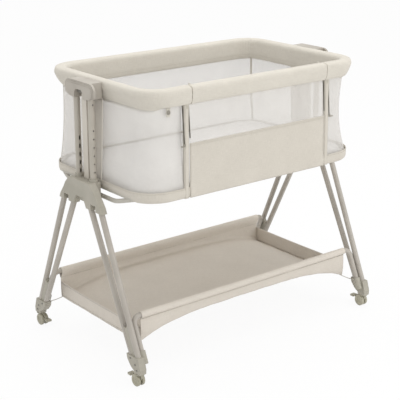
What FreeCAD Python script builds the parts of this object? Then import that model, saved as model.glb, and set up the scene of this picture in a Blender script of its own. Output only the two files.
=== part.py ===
import FreeCAD, Part
import math
import os
import re
import Sketcher
from FreeCAD import Placement, Rotation, Vector

# A bedside sleeper crib: two end frames on twin-wheel casters, joined low down by two
# storage rails with a fabric tray, carry a fabric basket that is raised and lowered on
# four posts. The front rail of the basket folds down and out over the lower front panel.
#
# Frame: X runs along the crib, the drop side faces -Y, Z is up, and the floor is Z = 0.
# Pieces are drawn at the rear right corner or the right end and mirrored to the others.

doc = FreeCAD.newDocument("BedsideCrib")
sheet = doc.addObject("Spreadsheet::Sheet", "Sizes")

SIZES = (
    # end frames
    ("end_x", 420.0, "middle plane of an end frame"),
    ("leg_dia", 16.0, "leg tube"),
    ("leg_wall", 1.2, "leg tube wall"),
    ("foot_z", 80.0, "height at which the legs' foot places are given"),
    ("hub_low", 434.0, "underside of the hub's leg sockets"),
    ("outer_foot_y", 245.3, "outer leg at foot_z"),
    ("outer_hub_y", 91.6, "outer leg at hub_low"),
    ("inner_foot_y", 218.2, "inner leg at foot_z"),
    ("inner_hub_y", 42.0, "inner leg at hub_low"),
    ("outer_leg_sink", 14.0, "outer leg below foot_z, in the boot"),
    ("inner_leg_sink", 7.0, "inner leg below foot_z, in the boot"),
    ("leg_in_hub", 15.0, "leg above hub_low, in its socket"),
    ("socket_fit", 0.1, "radial gap of a tube glued in a socket"),
    # hub
    ("hub_thick", 20.0, "hub plate along X"),
    ("hub_wall", 2.9, "plastic round the leg sockets"),
    ("hub_shoulder_y", 80.0, "hub outline, shoulder"),
    ("hub_shoulder_z", 470.0, "hub outline, shoulder height"),
    ("hub_corner_y", 70.0, "hub outline, upper corner"),
    ("hub_corner_z", 486.0, "hub outline, upper corner height"),
    ("hub_top_y", 50.0, "hub outline, half width of the top"),
    ("hub_top", 505.0, "hub outline, top"),
    ("hub_arch_y", 17.0, "half width of the arch's flat crown"),
    ("hub_arch_z", 459.0, "crown of the arch between the legs"),
    ("hub_round", 3.0, "rounding of the hub's outer edges"),
    ("recess_in_y", 54.5, "recess between the leg sockets, inner side"),
    ("recess_out_y", 77.0, "recess between the leg sockets, outer side"),
    ("recess_z", 452.0, "top of that recess"),
    ("recess_deep", 14.0, "depth of that recess from the outer face"),
    ("recess_slot", 4.0, "width of the slot in the recess"),
    ("block_in", 28.0, "hub's inner block, its inner face from end_x"),
    ("block_out", 2.0, "hub's inner block, its outer face from end_x"),
    ("block_y", 48.0, "half width of the inner block"),
    ("block_low", 445.0, "underside of the inner block"),
    ("collar_wall", 3.0, "collar round a post"),
    ("collar_tall", 8.0, "collar above the hub"),
    ("pocket_low", 470.0, "floor of the column's pocket in the hub"),
    ("pocket_back", 13.0, "back of the column's pocket from end_x"),
    # posts, slide tubes and latch column
    ("post_inset", 15.0, "post axis from end_x towards the middle"),
    ("post_y", 34.5, "post axis from the middle plane"),
    ("post_dia", 17.0, "post"),
    ("post_wall", 1.2, "post wall"),
    ("post_low", 455.0, "lower end of a post, in the hub"),
    ("post_top", 733.0, "upper end of a post"),
    ("notch_pitch", 22.5, "height step of the basket"),
    ("notch_first", 499.5, "lowest lock slot"),
    ("notch_count", 6.0, "number of lock slots"),
    ("notch_wide", 5.0, "lock slot width"),
    ("notch_tall", 12.0, "lock slot height"),
    ("notch_corner", 1.4, "corner of a lock slot"),
    ("dot_dia", 4.4, "round holes on the outward side"),
    ("dot_first", 531.0, "lowest round hole"),
    ("dot_top", 712.0, "single round hole under the rim"),
    ("inner_dia", 12.7, "slide tube that runs in a post"),
    ("inner_wall", 1.2, "slide tube wall"),
    ("inner_low", 552.0, "lower end of a slide tube"),
    ("inner_top", 761.0, "upper end of a slide tube, in the housing"),
    ("column_inset", 18.0, "latch column's middle from end_x"),
    ("column_y", 11.0, "half width of the latch column"),
    ("column_x", 5.0, "thickness of the latch column"),
    ("column_low", 488.0, "lower end of the latch column"),
    ("column_gap", 0.5, "side gap of the column in its pocket"),
    ("lug_low", 489.5, "underside of the column's foot lug"),
    ("lug_tall", 12.0, "height of the foot lug"),
    ("pin_dia", 3.2, "lock pin"),
    ("pin_in", 2.0, "inner end of a drawn-back lock pin"),
    # boots and casters
    ("boot_thick", 21.0, "boot along X"),
    ("boot_wall", 2.6, "plastic round the legs"),
    ("boot_top", 82.0, "top edge of a boot"),
    ("boot_base_y", 13.0, "half width of a boot's base"),
    ("boot_base_x", 10.0, "half depth of a boot's base along X"),
    ("boot_waist_z", 52.0, "where the outer edge turns down"),
    ("boot_gap", 0.5, "gap between the boot and the caster's hood"),
    ("web_thick", 12.0, "web between the two legs"),
    ("web_top", 157.0, "top of the web"),
    ("web_notch", 8.0, "radius of the round end of the gap above the web"),
    ("stem_y", 252.0, "caster stem from the middle plane"),
    ("stem_dia", 8.0, "caster stem"),
    ("stem_tall", 20.0, "caster stem above its hood"),
    ("stem_fit", 0.05, "radial running gap of the stem"),
    ("trail", 8.0, "caster axle from the stem axis"),
    ("wheel_r", 17.0, "wheel radius"),
    ("wheel_wide", 8.0, "width of one wheel"),
    ("wheel_pitch", 14.0, "middle to middle of the twin wheels"),
    ("tread_round", 1.6, "bevel of the tread"),
    ("wheel_dish_r", 9.0, "recess in a wheel's face"),
    ("wheel_dish", 1.2, "depth of that recess"),
    ("axle_dia", 3.0, "caster axle"),
    ("axle_fit", 0.05, "radial running gap of the axle"),
    ("fork_thick", 4.8, "caster's middle web"),
    ("hood_r", 12.5, "hood radius"),
    ("hood_tall", 2.2, "hood thickness"),
    ("hood_gap", 0.8, "hood above the wheels"),
    ("pedal_pivot", 29.0, "brake pedal's pivot from the stem axis"),
    ("pedal_z", 24.0, "height of that pivot"),
    ("pedal_pin", 2.4, "brake pedal's pin"),
    ("pedal_long", 17.0, "pedal's reach from its pivot"),
    ("pedal_half", 8.0, "half width of the pedal"),
    ("pedal_thick", 5.5, "pedal thickness"),
    ("pedal_plate", 4.2, "where the pedal's plate starts, from its pivot"),
    ("ear_gap", 0.3, "gap between a pedal ear and the fork"),
    ("ear_thick", 2.6, "pedal ear"),
    # storage rails and tray
    ("rail_x", 403.0, "lowered end of a storage rail"),
    ("rail_y", 199.0, "storage rail"),
    ("rail_z", 173.0, "storage rail height"),
    ("rail_foot_y", 247.6, "rail's lower end"),
    ("rail_foot_z", 62.0, "rail's lower end height"),
    ("rail_bend", 20.0, "rail's bend radius"),
    ("rail_dia", 15.0, "storage rail tube"),
    ("rail_wall", 1.2, "storage rail tube wall"),
    ("rail_socket_wall", 3.0, "boot's side socket round a rail"),
    ("rail_socket_top", 90.0, "top of that socket"),
    ("rail_socket_low", 58.0, "bottom of that socket"),
    ("tray_x", 379.0, "half length of the storage tray"),
    ("tray_cloth", 1.5, "cloth thickness"),
    ("tray_sleeve_gap", 0.3, "cloth sleeve clear of its rail"),
    ("tray_mid_z", 133.0, "floor height at the middle"),
    ("tray_drop", 40.0, "how much lower the floor is at the ends"),
    ("tray_end_top", 139.0, "top of the tray's end walls"),
    ("elastic_dia", 2.4, "corner elastic"),
    ("screw_dia", 5.0, "screw head"),
    ("screw_upper_z", 74.0, "upper screw on a boot"),
    ("screw_upper_in", 6.0, "upper screw outside the inner leg's foot"),
    ("screw_mid_z", 62.0, "middle screw on a boot"),
    ("screw_mid_in", 7.0, "middle screw inside the caster's stem"),
    ("screw_low_z", 48.0, "lower screw on a boot"),
    ("screw_tall", 1.0, "screw head height"),
    # rim
    ("rim_x", 362.0, "rim tube, half length to its centre line"),
    ("rim_y", 226.0, "rim tube, half width to its centre line"),
    ("rim_bend", 64.0, "rim tube corner radius on the centre line"),
    ("rim_z", 751.0, "rim tube height"),
    ("rim_dia", 22.0, "rim tube"),
    ("rim_wall", 1.5, "rim tube wall"),
    ("pad_half", 18.0, "half width of the padded rail"),
    ("pad_over", 22.5, "top of the padding above the rim tube's middle"),
    ("pad_under", 27.0, "underside of the padding below it"),
    ("pad_round_top", 15.0, "rounding of the padding's top"),
    ("pad_round_low", 14.0, "rounding of the padding's underside"),
    ("cloth_gap", 0.3, "padding clear of what it covers"),
    ("gate_half", 237.0, "seam at each end of the drop rail"),
    ("seam_gap", 1.0, "gap at each seam, each side"),
    ("gate_tube_short", 1.0, "drop rail's tube ends before its padding"),
    ("button_dia", 7.0, "release button"),
    ("button_inset", 11.0, "release button from the drop rail's end"),
    ("button_back", 9.0, "release button behind the rail's middle"),
    ("button_in", 10.5, "how deep the button goes into the padding"),
    ("button_proud", 1.3, "button above the padding"),
    ("button_room", 3.0, "free depth of the well under the button"),
    # rim housing
    ("housing_proud", 1.0, "outer face of the rim housing beyond the leg plane"),
    ("housing_top_in", 3.5, "top of the rim housing under the padding's top"),
    ("housing_face_y", 66.0, "half width of its outer face"),
    ("housing_cheek_back", 8.0, "back of its wide outer shield behind the leg plane"),
    ("housing_cheek_y", 70.0, "half width there"),
    ("housing_waist_y", 49.0, "half width of the body behind the shield"),
    ("housing_low", 724.0, "underside of its tongues"),
    ("housing_tongue_y", 47.0, "outer side of a tongue"),
    ("housing_hem", 8.0, "how far its lower edge rises to its corners"),
    ("housing_arch_y", 20.0, "half width of the arch between the tongues"),
    ("housing_arch_z", 741.0, "where the arch's sides end"),
    ("housing_crown_z", 748.0, "crown of the arch"),
    ("housing_round", 24.0, "size of its round upper corners"),
    ("housing_step", 1.3, "depth of each step round its upper corners"),
    ("housing_terrace", 4.5, "width of each step"),
    ("saddle_y", 30.0, "half width of the saddle on the rim tube"),
    ("saddle_half", 14.5, "half height of the saddle"),
    ("saddle_back", 11.5, "inner face of the saddle behind the rim tube's middle"),
    ("post_well_fit", 0.4, "radial gap of a post's top in the housing"),
    ("post_well_top", 735.5, "top of that well"),
    ("trigger_inset", 9.5, "release trigger's middle behind the leg plane"),
    ("trigger_thick", 7.0, "release trigger along X"),
    ("trigger_y", 16.0, "half width of the release trigger"),
    ("trigger_low", 738.0, "underside of the release trigger"),
    ("trigger_tall", 7.0, "release trigger height"),
    ("trigger_room", 8.0, "cavity above the release trigger"),
    ("trigger_gap", 0.3, "side gap of the release trigger"),
    # basket walls
    ("wall_x", 358.0, "mesh wall at its top, half length"),
    ("wall_y", 221.0, "mesh wall at its top, half width"),
    ("wall_bend", 62.0, "mesh wall's corner radius at its top"),
    ("wall_thick", 1.2, "mesh and wall cloth thickness"),
    ("wall_low", 494.0, "lower edge of the mesh wall"),
    ("flare_x", 22.0, "how far the mesh wall flares out at the ends"),
    ("flare_y", 13.0, "how far it flares out at the sides"),
    ("flare_bend", 21.0, "how much larger its corner radius grows"),
    ("flare_power", 2.6, "how late the flare comes"),
    ("band_x", 383.0, "binding band, half length"),
    ("band_y", 236.0, "binding band, half width"),
    ("band_bend", 85.0, "binding band's corner radius"),
    ("band_low", 477.0, "lower edge of the band"),
    ("band_top", 505.0, "upper edge of the band"),
    ("band_thick", 1.5, "band and base cloth thickness"),
    ("band_lift", 8.0, "how far the band's edge is lifted at the ends"),
    ("band_lift_y", 165.0, "half width of that lift"),
    ("ring_dia", 14.0, "bottom ring tube"),
    ("ring_wall", 1.2, "bottom ring tube wall"),
    ("board_x", 364.0, "mattress board, half length"),
    ("board_y", 217.0, "mattress board, half width"),
    ("board_thick", 3.5, "mattress board"),
    ("mattress_inset", 1.0, "mattress within its board"),
    ("mattress_side", 18.5, "height of the mattress's edge"),
    ("mattress_crown", 3.0, "how far its middle stands above its edge"),
    ("mattress_pull", 4.0, "how far its sides draw in between corners"),
    ("mattress_bend", 60.0, "mattress corner radius"),
    ("board_bend", 62.0, "mattress board corner radius"),
    ("panel_beyond", 19.0, "lower front panel's end beyond the drop rail's"),
    ("panel_lap", 8.0, "front strut within the panel's end"),
    ("strut_out", 0.6, "front strut before the rim tube's middle"),
    ("strut_dia", 14.0, "front strut"),
    ("strut_wall", 1.2, "front strut wall"),
    ("connector_dia", 18.0, "connector at the top of a front strut"),
    ("connector_low", 715.0, "underside of that connector"),
    ("carrier_x", 384.0, "end carrier tube's middle stretch"),
    ("carrier_z", 464.0, "its height"),
    ("carrier_y", 105.0, "where it starts to rise"),
    ("carrier_end_x", 368.5, "its end on the bottom ring"),
    ("carrier_end_y", 178.0, "its end on the bottom ring"),
    ("carrier_dia", 12.0, "end carrier tube"),
    ("carrier_wall", 1.2, "end carrier tube wall"),
    ("carrier_bend", 100.0, "its bend radius"),
    ("strip_y", 46.0, "half width of the end strip"),
    ("strip_top_x", 372.0, "end strip's outer face at its top"),
    ("hinge_z", 624.0, "height of the drop side's fold line"),
    ("gate_mesh_out", 0.6, "drop side's mesh at its top before the rim tube's middle"),
    ("fold_gap", 0.15, "cloth edge above or below the fold line"),
    ("tab_x", 292.0, "snap tab along the front"),
    ("tab_wide", 13.0, "snap tab"),
    ("tab_tall", 24.0, "snap tab"),
    ("tab_ring_r", 5.0, "snap tab's ring"),
)

names = {alias for alias, value, meaning in SIZES}
for row, (alias, value, meaning) in enumerate(SIZES, start=1):
    sheet.set("A%d" % row, meaning)
    sheet.set("B%d" % row, repr(value))
    sheet.setAlias("B%d" % row, alias)
doc.recompute()


def val(text):
    """The number that an expression on the sheet's cells gives now."""
    return float(sheet.evalExpression(text))


def cells(text):
    """The same expression, as another object of the document writes it."""
    return re.sub(r"[a-z][a-z_]*", lambda m: "Sizes." + m.group(0) if m.group(0) in names else m.group(0), text)


def bind(thing, **expressions):
    for name, text in expressions.items():
        thing.setExpression(name, cells(text))


def place(thing, x="0", y="0", z="0"):
    for axis, text in zip("xyz", (x, y, z)):
        thing.setExpression("Placement.Base." + axis, cells(text))
    return thing


def box(label, x, y, z):
    """A box between two values on each axis."""
    thing = doc.addObject("Part::Box", label)
    for name, (low, high) in zip(("Length", "Width", "Height"), (x, y, z)):
        thing.setExpression(name, cells("(%s) - (%s)" % (high, low)))
    return place(thing, x[0], y[0], z[0])


# places that follow from other sizes
PAD_TOP = "(rim_z + pad_over)"
PAD_LOW = "(rim_z - pad_under)"
BUTTON_X = "(gate_half - button_inset)"
BUTTON_Y = "(rim_y - button_back)"
BUTTON_LOW = "(%s - button_in)" % PAD_TOP
PANEL_HALF = "(gate_half + panel_beyond)"
STRUT_X = "(%s - panel_lap)" % PANEL_HALF
STRUT_Y = "(rim_y + strut_out)"
HOUSING_OUT = "(end_x + housing_proud)"
HOUSING_IN = "(rim_x + pad_half + cloth_gap)"
HOUSING_TOP = "(%s - housing_top_in)" % PAD_TOP
SADDLE_IN = "(rim_x - saddle_back)"
TRIGGER_X = "(end_x - trigger_inset)"

TURNS = {"z": Rotation(), "x": Rotation(Vector(0, 1, 0), 90), "y": Rotation(Vector(1, 0, 0), -90)}


def rod(label, radius, length, at, along="z"):
    """A cylinder from a point, along a main axis."""
    thing = doc.addObject("Part::Cylinder", label)
    bind(thing, Radius=radius, Height=length)
    thing.Placement = Placement(Vector(), TURNS[along])
    return place(thing, *at)


def leaning_rod(label, radius, length, at, slope):
    """A cylinder from a point, rising and leaning towards -Y by slope."""
    thing = doc.addObject("Part::Cylinder", label)
    bind(thing, Radius=radius, Height=length)
    thing.Placement = Placement(Vector(), Rotation(Vector(1, 0, 0), 10))
    thing.setExpression("Placement.Rotation.Angle", cells("atan(%s)" % slope))
    return place(thing, *at)


def fuse(label, *pieces):
    thing = doc.addObject("Part::MultiFuse", label)
    thing.Shapes = list(pieces)
    thing.Refine = True
    return thing


def cut(label, base, *tools):
    thing = doc.addObject("Part::Cut", label)
    thing.Base = base
    thing.Tool = tools[0] if len(tools) == 1 else fuse(label + "_tools", *tools)
    thing.Refine = True
    return thing


def group(label, *pieces):
    thing = doc.addObject("Part::Compound", label)
    thing.Links = list(pieces)
    return thing


def mirror(label, source, normal):
    thing = doc.addObject("Part::Mirroring", label)
    thing.Source = source
    thing.Normal = normal
    return thing


def plane_of(body, role):
    return next(f for f in body.Origin.OriginFeatures if f.Role == role)


def outline(body, name, role, points):
    """A closed sketch whose corners are all tied to the sheet."""
    sketch = body.newObject("Sketcher::SketchObject", name)
    sketch.AttachmentSupport = (plane_of(body, role), "")
    sketch.MapMode = "FlatFace"
    corners = [Vector(val(a), val(b), 0) for a, b in points]
    count = len(corners)
    for i in range(count):
        sketch.addGeometry(Part.LineSegment(corners[i], corners[(i + 1) % count]), False)
    for i in range(count):
        sketch.addConstraint(Sketcher.Constraint("Coincident", i, 2, (i + 1) % count, 1))
    for i, pair in enumerate(points):
        for kind, text in zip(("DistanceX", "DistanceY"), pair):
            index = sketch.addConstraint(Sketcher.Constraint(kind, -1, 1, i, 1, val(text)))
            sketch.setExpression("Constraints[%d]" % index, cells(text))
    return sketch


def plate(label, role, points, thick, at=("0", "0", "0")):
    """A body padded evenly to both sides of a main plane."""
    body = doc.addObject("PartDesign::Body", label)
    pad = body.newObject("PartDesign::Pad", label + "_pad")
    pad.Profile = outline(body, label + "_outline", role, points)
    bind(pad, Length=thick)
    pad.Midplane = True
    place(body, *at)
    return body


def spin(label, points, at):
    """A body turned about its own X axis."""
    body = doc.addObject("PartDesign::Body", label)
    sketch = outline(body, label + "_outline", "XZ_Plane", points)
    turn = body.newObject("PartDesign::Revolution", label + "_turn")
    turn.Profile = sketch
    turn.ReferenceAxis = (sketch, ["H_Axis"])
    turn.Angle = 360
    place(body, *at)
    return body


def feature(label, shape):
    thing = doc.addObject("Part::Feature", label)
    thing.Shape = shape
    return thing


made = []


def keep(thing, label):
    """Names a finished sub-part."""
    thing.Label = label
    made.append(thing)
    return thing


def four_corners(stem, source):
    keep(source, stem + "_rear_right")
    front = keep(mirror(stem + "_b", source, Vector(0, 1, 0)), stem + "_front_right")
    keep(mirror(stem + "_c", source, Vector(1, 0, 0)), stem + "_rear_left")
    keep(mirror(stem + "_d", front, Vector(1, 0, 0)), stem + "_front_left")


def both_ends(stem, source):
    keep(source, stem + "_right")
    keep(mirror(stem + "_b", source, Vector(1, 0, 0)), stem + "_left")


# ---- the lines that the legs follow -------------------------------------------------

OUTER_SLOPE = "((outer_foot_y - outer_hub_y) / (hub_low - foot_z))"
INNER_SLOPE = "((inner_foot_y - inner_hub_y) / (hub_low - foot_z))"
OUTER_REACH = "(leg_dia / 2 * sqrt(1 + %s ^ 2))" % OUTER_SLOPE
INNER_REACH = "(leg_dia / 2 * sqrt(1 + %s ^ 2))" % INNER_SLOPE


def outer_y(z):
    return "(outer_foot_y + (foot_z - (%s)) * %s)" % (z, OUTER_SLOPE)


def inner_y(z):
    return "(inner_foot_y + (foot_z - (%s)) * %s)" % (z, INNER_SLOPE)


def leg_rod(label, radius, line, slope, low):
    length = "(hub_low + leg_in_hub - (%s)) * sqrt(1 + %s ^ 2)" % (low, slope)
    return leaning_rod(label, radius, length, ("end_x", line(low), low), slope)


def leg_bores(label):
    """The room that both legs of a corner take, with their gap."""
    return (leg_rod(label + "_outer", "leg_dia / 2 + socket_fit", outer_y, OUTER_SLOPE, "foot_z - outer_leg_sink"),
            leg_rod(label + "_inner", "leg_dia / 2 + socket_fit", inner_y, INNER_SLOPE, "foot_z - inner_leg_sink"))


# ---- legs: a pair of straight tubes at each corner ---------------------------------

def leg_tube(label, line, slope, low):
    full = leg_rod(label + "_full", "leg_dia / 2", line, slope, low)
    bore = leg_rod(label + "_bore", "leg_dia / 2 - leg_wall", line, slope, low)
    return cut(label, full, bore)


four_corners("legs", group(
    "legs_pair",
    leg_tube("leg_outer", outer_y, OUTER_SLOPE, "foot_z - outer_leg_sink"),
    leg_tube("leg_inner", inner_y, INNER_SLOPE, "foot_z - inner_leg_sink")))

# ---- hubs: moulded plates that join the four legs and hold the posts ----------------

SOCKET_TOP = "(hub_low + leg_in_hub)"
hub_half = [
    ("inner_hub_y - %s - hub_wall" % INNER_REACH, "hub_low"),
    ("outer_hub_y + %s + hub_wall" % OUTER_REACH, "hub_low"),
    ("%s + %s + hub_wall" % (outer_y(SOCKET_TOP), OUTER_REACH), SOCKET_TOP),
    ("hub_shoulder_y", "hub_shoulder_z"),
    ("hub_corner_y", "hub_corner_z"),
    ("hub_top_y", "hub_top"),
]
hub_arch = [
    ("%s - %s - hub_wall" % (inner_y(SOCKET_TOP), INNER_REACH), SOCKET_TOP),
    ("hub_arch_y", "hub_arch_z"),
]


def minus(points):
    return [("-(%s)" % a, b) for a, b in points]


hub_points = hub_half + minus(hub_half[::-1]) + minus(hub_arch) + hub_arch[::-1]
hub_plate = plate("hub_plate", "YZ_Plane", hub_points, "hub_thick", ("end_x", "0", "0"))
doc.recompute()
hub_pad = hub_plate.Tip
outer_edges = ["Edge%d" % (i + 1) for i, edge in enumerate(hub_pad.Shape.Edges)
               if abs(edge.BoundBox.XMin - val("hub_thick / 2")) < 1e-3]
rounding = hub_plate.newObject("PartDesign::Fillet", "hub_rounding")
rounding.Base = (hub_pad, outer_edges)
bind(rounding, Radius="hub_round")

OUT_FACE = "end_x + hub_thick / 2"
hub_tools = []
for side in ("", "-"):
    for part, bore in zip(("outer", "inner"), leg_bores("hub_leg" + ("_a" if side else "_b"))):
        hub_tools.append(bore if not side else mirror("hub_leg_" + part + "_front", bore, Vector(0, 1, 0)))
    low_y, high_y = ("recess_in_y", "recess_out_y") if not side else ("-recess_out_y", "-recess_in_y")
    hub_tools.append(box("hub_recess", (OUT_FACE + " - recess_deep", OUT_FACE + " + 1"),
                         (low_y, high_y), ("hub_low - 1", "recess_z")))
    slot_y = side + "(recess_in_y + recess_out_y) / 2"
    hub_tools.append(box("hub_slot", ("end_x - hub_thick", OUT_FACE),
                         (slot_y + " - recess_slot / 2", slot_y + " + recess_slot / 2"),
                         ("hub_low + recess_slot", "recess_z - recess_slot")))
    hub_tools.append(rod("hub_post_bore", "post_dia / 2 + socket_fit", "hub_top",
                         ("end_x - post_inset", side + "post_y", "post_low")))
hub_tools.append(box("hub_pocket", ("end_x - block_in - 1", "end_x - pocket_back"),
                     ("-column_y - column_gap", "column_y + column_gap"), ("pocket_low", "hub_top + collar_tall + 1")))
hub_block = box("hub_block", ("end_x - block_in", "end_x - block_out"),
                ("-block_y", "block_y"), ("block_low", "hub_top"))
hub_collars = [rod("hub_collar", "post_dia / 2 + collar_wall", "collar_tall",
                   ("end_x - post_inset", side + "post_y", "hub_top")) for side in ("", "-")]
both_ends("hub", cut("hub", fuse("hub_solid", hub_plate, hub_block, *hub_collars), *hub_tools))

# ---- posts: tubes with lock slots facing each other and round holes outwards ---------

post = doc.addObject("PartDesign::Body", "post")
post_ring = post.newObject("Sketcher::SketchObject", "post_ring")
post_ring.AttachmentSupport = (plane_of(post, "XY_Plane"), "")
post_ring.MapMode = "FlatFace"
for index, text in enumerate(("post_dia / 2", "post_dia / 2 - post_wall")):
    post_ring.addGeometry(Part.Circle(Vector(), Vector(0, 0, 1), val(text)), False)
    post_ring.addConstraint(Sketcher.Constraint("Coincident", index, 3, -1, 1))
    number = post_ring.addConstraint(Sketcher.Constraint("Radius", index, val(text)))
    post_ring.setExpression("Constraints[%d]" % number, cells(text))
post_pad = post.newObject("PartDesign::Pad", "post_pad")
post_pad.Profile = post_ring
bind(post_pad, Length="post_top - post_low")


def wall_pocket(name, points, inward):
    """A pocket through one side of the post, from its axis out."""
    pocket = post.newObject("PartDesign::Pocket", name)
    pocket.Profile = outline(post, name + "_outline", "XZ_Plane", points)
    bind(pocket, Length="post_dia")
    pocket.Reversed = inward
    return pocket


def up_pattern(name, pocket):
    pattern = post.newObject("PartDesign::LinearPattern", name)
    pattern.Originals = [pocket]
    pattern.Direction = (plane_of(post, "Z_Axis"), [""])
    bind(pattern, Length="notch_pitch * (notch_count - 1)", Occurrences="notch_count")
    post.Tip = pattern
    return pattern


def lozenge(half_wide, half_tall, corner, middle):
    """An upright slot with cut corners, about a height."""
    upper = [("-(%s) + %s" % (half_wide, corner), "%s + %s" % (middle, half_tall)),
             ("%s - %s" % (half_wide, corner), "%s + %s" % (middle, half_tall)),
             (half_wide, "%s + %s - %s" % (middle, half_tall, corner)),
             (half_wide, "%s - %s + %s" % (middle, half_tall, corner))]
    lower = [("%s - %s" % (half_wide, corner), "%s - %s" % (middle, half_tall)),
             ("-(%s) + %s" % (half_wide, corner), "%s - %s" % (middle, half_tall)),
             ("-(%s)" % half_wide, "%s - %s + %s" % (middle, half_tall, corner)),
             ("-(%s)" % half_wide, "%s + %s - %s" % (middle, half_tall, corner))]
    return upper + lower


def dot_outline(middle):
    return lozenge("dot_dia / 2", "dot_dia / 2", "dot_dia * 0.29", middle)


slot = wall_pocket("lock_slot", lozenge("notch_wide / 2", "notch_tall / 2", "notch_corner",
                                        "notch_first - post_low"), True)
up_pattern("lock_slots", slot)
dots = wall_pocket("dot", dot_outline("dot_first - post_low"), False)
up_pattern("dots", dots)
top_dot = wall_pocket("top_dot", dot_outline("dot_top - post_low"), False)
post.Tip = top_dot
place(post, "end_x - post_inset", "post_y", "post_low")
four_corners("post", post)

# ---- boots: moulded feet with leg bores, a web, a side socket and the stem bore ------

HOOD_LOW = "(2 * wheel_r + hood_gap)"
HOOD_TOP = "(2 * wheel_r + hood_gap + hood_tall)"
BOOT_LOW = "(2 * wheel_r + hood_gap + hood_tall + boot_gap)"
INNER_END = "(foot_z - inner_leg_sink)"
boot_points = [
    ("inner_foot_y - %s - boot_wall" % INNER_REACH, "boot_top"),
    ("outer_foot_y + %s + boot_wall" % OUTER_REACH, "boot_top"),
    ("stem_y + boot_base_y + 1", "boot_waist_z"),
    ("stem_y + boot_base_y", BOOT_LOW),
    ("stem_y - boot_base_y", BOOT_LOW),
    ("stem_y - boot_base_y - 1", "(%s + 6.5)" % BOOT_LOW),
    ("%s + boot_wall" % inner_y(INNER_END), "boot_waist_z"),
    ("%s - %s - boot_wall" % (inner_y(INNER_END), INNER_REACH), "%s - boot_wall - 2" % INNER_END),
]
boot_plate = plate("boot_plate", "YZ_Plane", boot_points, "boot_thick", ("end_x", "0", "0"))
web_points = [(inner_y("foot_z"), "foot_z"), (outer_y("foot_z"), "foot_z"),
              (outer_y("web_top"), "web_top"), (inner_y("web_top"), "web_top")]
boot_web = plate("boot_web", "YZ_Plane", web_points, "web_thick", ("end_x", "0", "0"))
RAIL_SLOPE = "((rail_foot_y - rail_y) / (rail_z - rail_foot_z))"


def rail_line_y(z):
    return "(rail_foot_y + (rail_foot_z - (%s)) * %s)" % (z, RAIL_SLOPE)


def rail_rod(label, radius, low, high):
    length = "((%s) - (%s)) * sqrt(1 + %s ^ 2)" % (high, low, RAIL_SLOPE)
    return leaning_rod(label, radius, length, ("rail_x", rail_line_y(low), low), RAIL_SLOPE)


boot_socket = rail_rod("boot_socket", "rail_dia / 2 + rail_socket_wall", "rail_socket_low", "rail_socket_top")
boot_tools = list(leg_bores("boot_leg"))
boot_tools.append(rail_rod("boot_rail_bore", "rail_dia / 2 + socket_fit", "rail_foot_z", "rail_z - rail_bend"))
boot_tools.append(rod("boot_stem_bore", "stem_dia / 2 + stem_fit", "stem_tall + 2",
                      ("end_x", "stem_y", "%s - 1" % BOOT_LOW)))
boot_tools.append(rod("boot_web_notch", "web_notch", "boot_thick * 2",
                      ("end_x - boot_thick", "(%s + %s) / 2" % (inner_y("web_top"), outer_y("web_top")), "web_top"),
                      "x"))
four_corners("boot", cut("boot", fuse("boot_solid", boot_plate, boot_web, boot_socket), *boot_tools))

# ---- casters: fork with hood and stem, twin wheels on an axle, brake pedal ------------

fork_points = [
    ("hood_r - 4", "%s + hood_tall / 2" % HOOD_LOW),
    ("hood_r - 4", "wheel_r + 7"),
    ("-trail + 6.5", "wheel_r - 4"),
    ("-trail", "wheel_r - 6"),
    ("-trail - 6.5", "wheel_r - 4"),
    ("-pedal_pivot + 5", "pedal_z - 3.5"),
    ("-pedal_pivot - 2.2", "pedal_z - 3"),
    ("-pedal_pivot - 2.2", "pedal_z + 3"),
    ("-pedal_pivot + 7", "pedal_z + 6"),
    ("-hood_r - 1", "%s + hood_tall / 2" % HOOD_LOW),
]
fork_web = plate("fork_web", "YZ_Plane", fork_points, "fork_thick", ("end_x", "stem_y", "0"))
fork_hood = rod("fork_hood", "hood_r", "hood_tall", ("end_x", "stem_y", HOOD_LOW))
fork_stem = rod("fork_stem", "stem_dia / 2", "stem_tall + hood_tall / 2",
                ("end_x", "stem_y", "%s - hood_tall / 2" % HOOD_TOP))
fork_bore = rod("fork_bore", "axle_dia / 2 + axle_fit", "fork_thick * 2",
                ("end_x - fork_thick", "stem_y - trail", "wheel_r"), "x")
pedal_bore = rod("pedal_bore", "pedal_pin / 2 + axle_fit", "fork_thick * 2",
                 ("end_x - fork_thick", "stem_y - pedal_pivot", "pedal_z"), "x")
four_corners("caster_fork", cut("fork", fuse("fork_solid", fork_web, fork_hood, fork_stem), fork_bore, pedal_bore))

wheels = []
for side in ("", "-"):
    near, far = "wheel_pitch / 2 - wheel_wide / 2", "wheel_pitch / 2 + wheel_wide / 2"
    profile = [
        (near, "axle_dia / 2"),
        (near, "wheel_r - tread_round"),
        (near + " + tread_round", "wheel_r"),
        (far + " - tread_round", "wheel_r"),
        (far, "wheel_r - tread_round"),
        (far, "wheel_dish_r"),
        (far + " - wheel_dish", "wheel_dish_r - wheel_dish"),
        (far + " - wheel_dish", "axle_dia / 2"),
    ]
    if side:
        profile = minus(profile)
    wheels.append(spin("wheel" + ("_b" if side else "_a"), profile, ("end_x", "stem_y - trail", "wheel_r")))
axle = rod("axle", "axle_dia / 2 - 0.01", "wheel_pitch + wheel_wide - 2 * wheel_dish",
           ("end_x - wheel_pitch / 2 - wheel_wide / 2 + wheel_dish", "stem_y - trail", "wheel_r"), "x")
four_corners("caster_wheels", group("caster_wheels", axle, *wheels))

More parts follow.
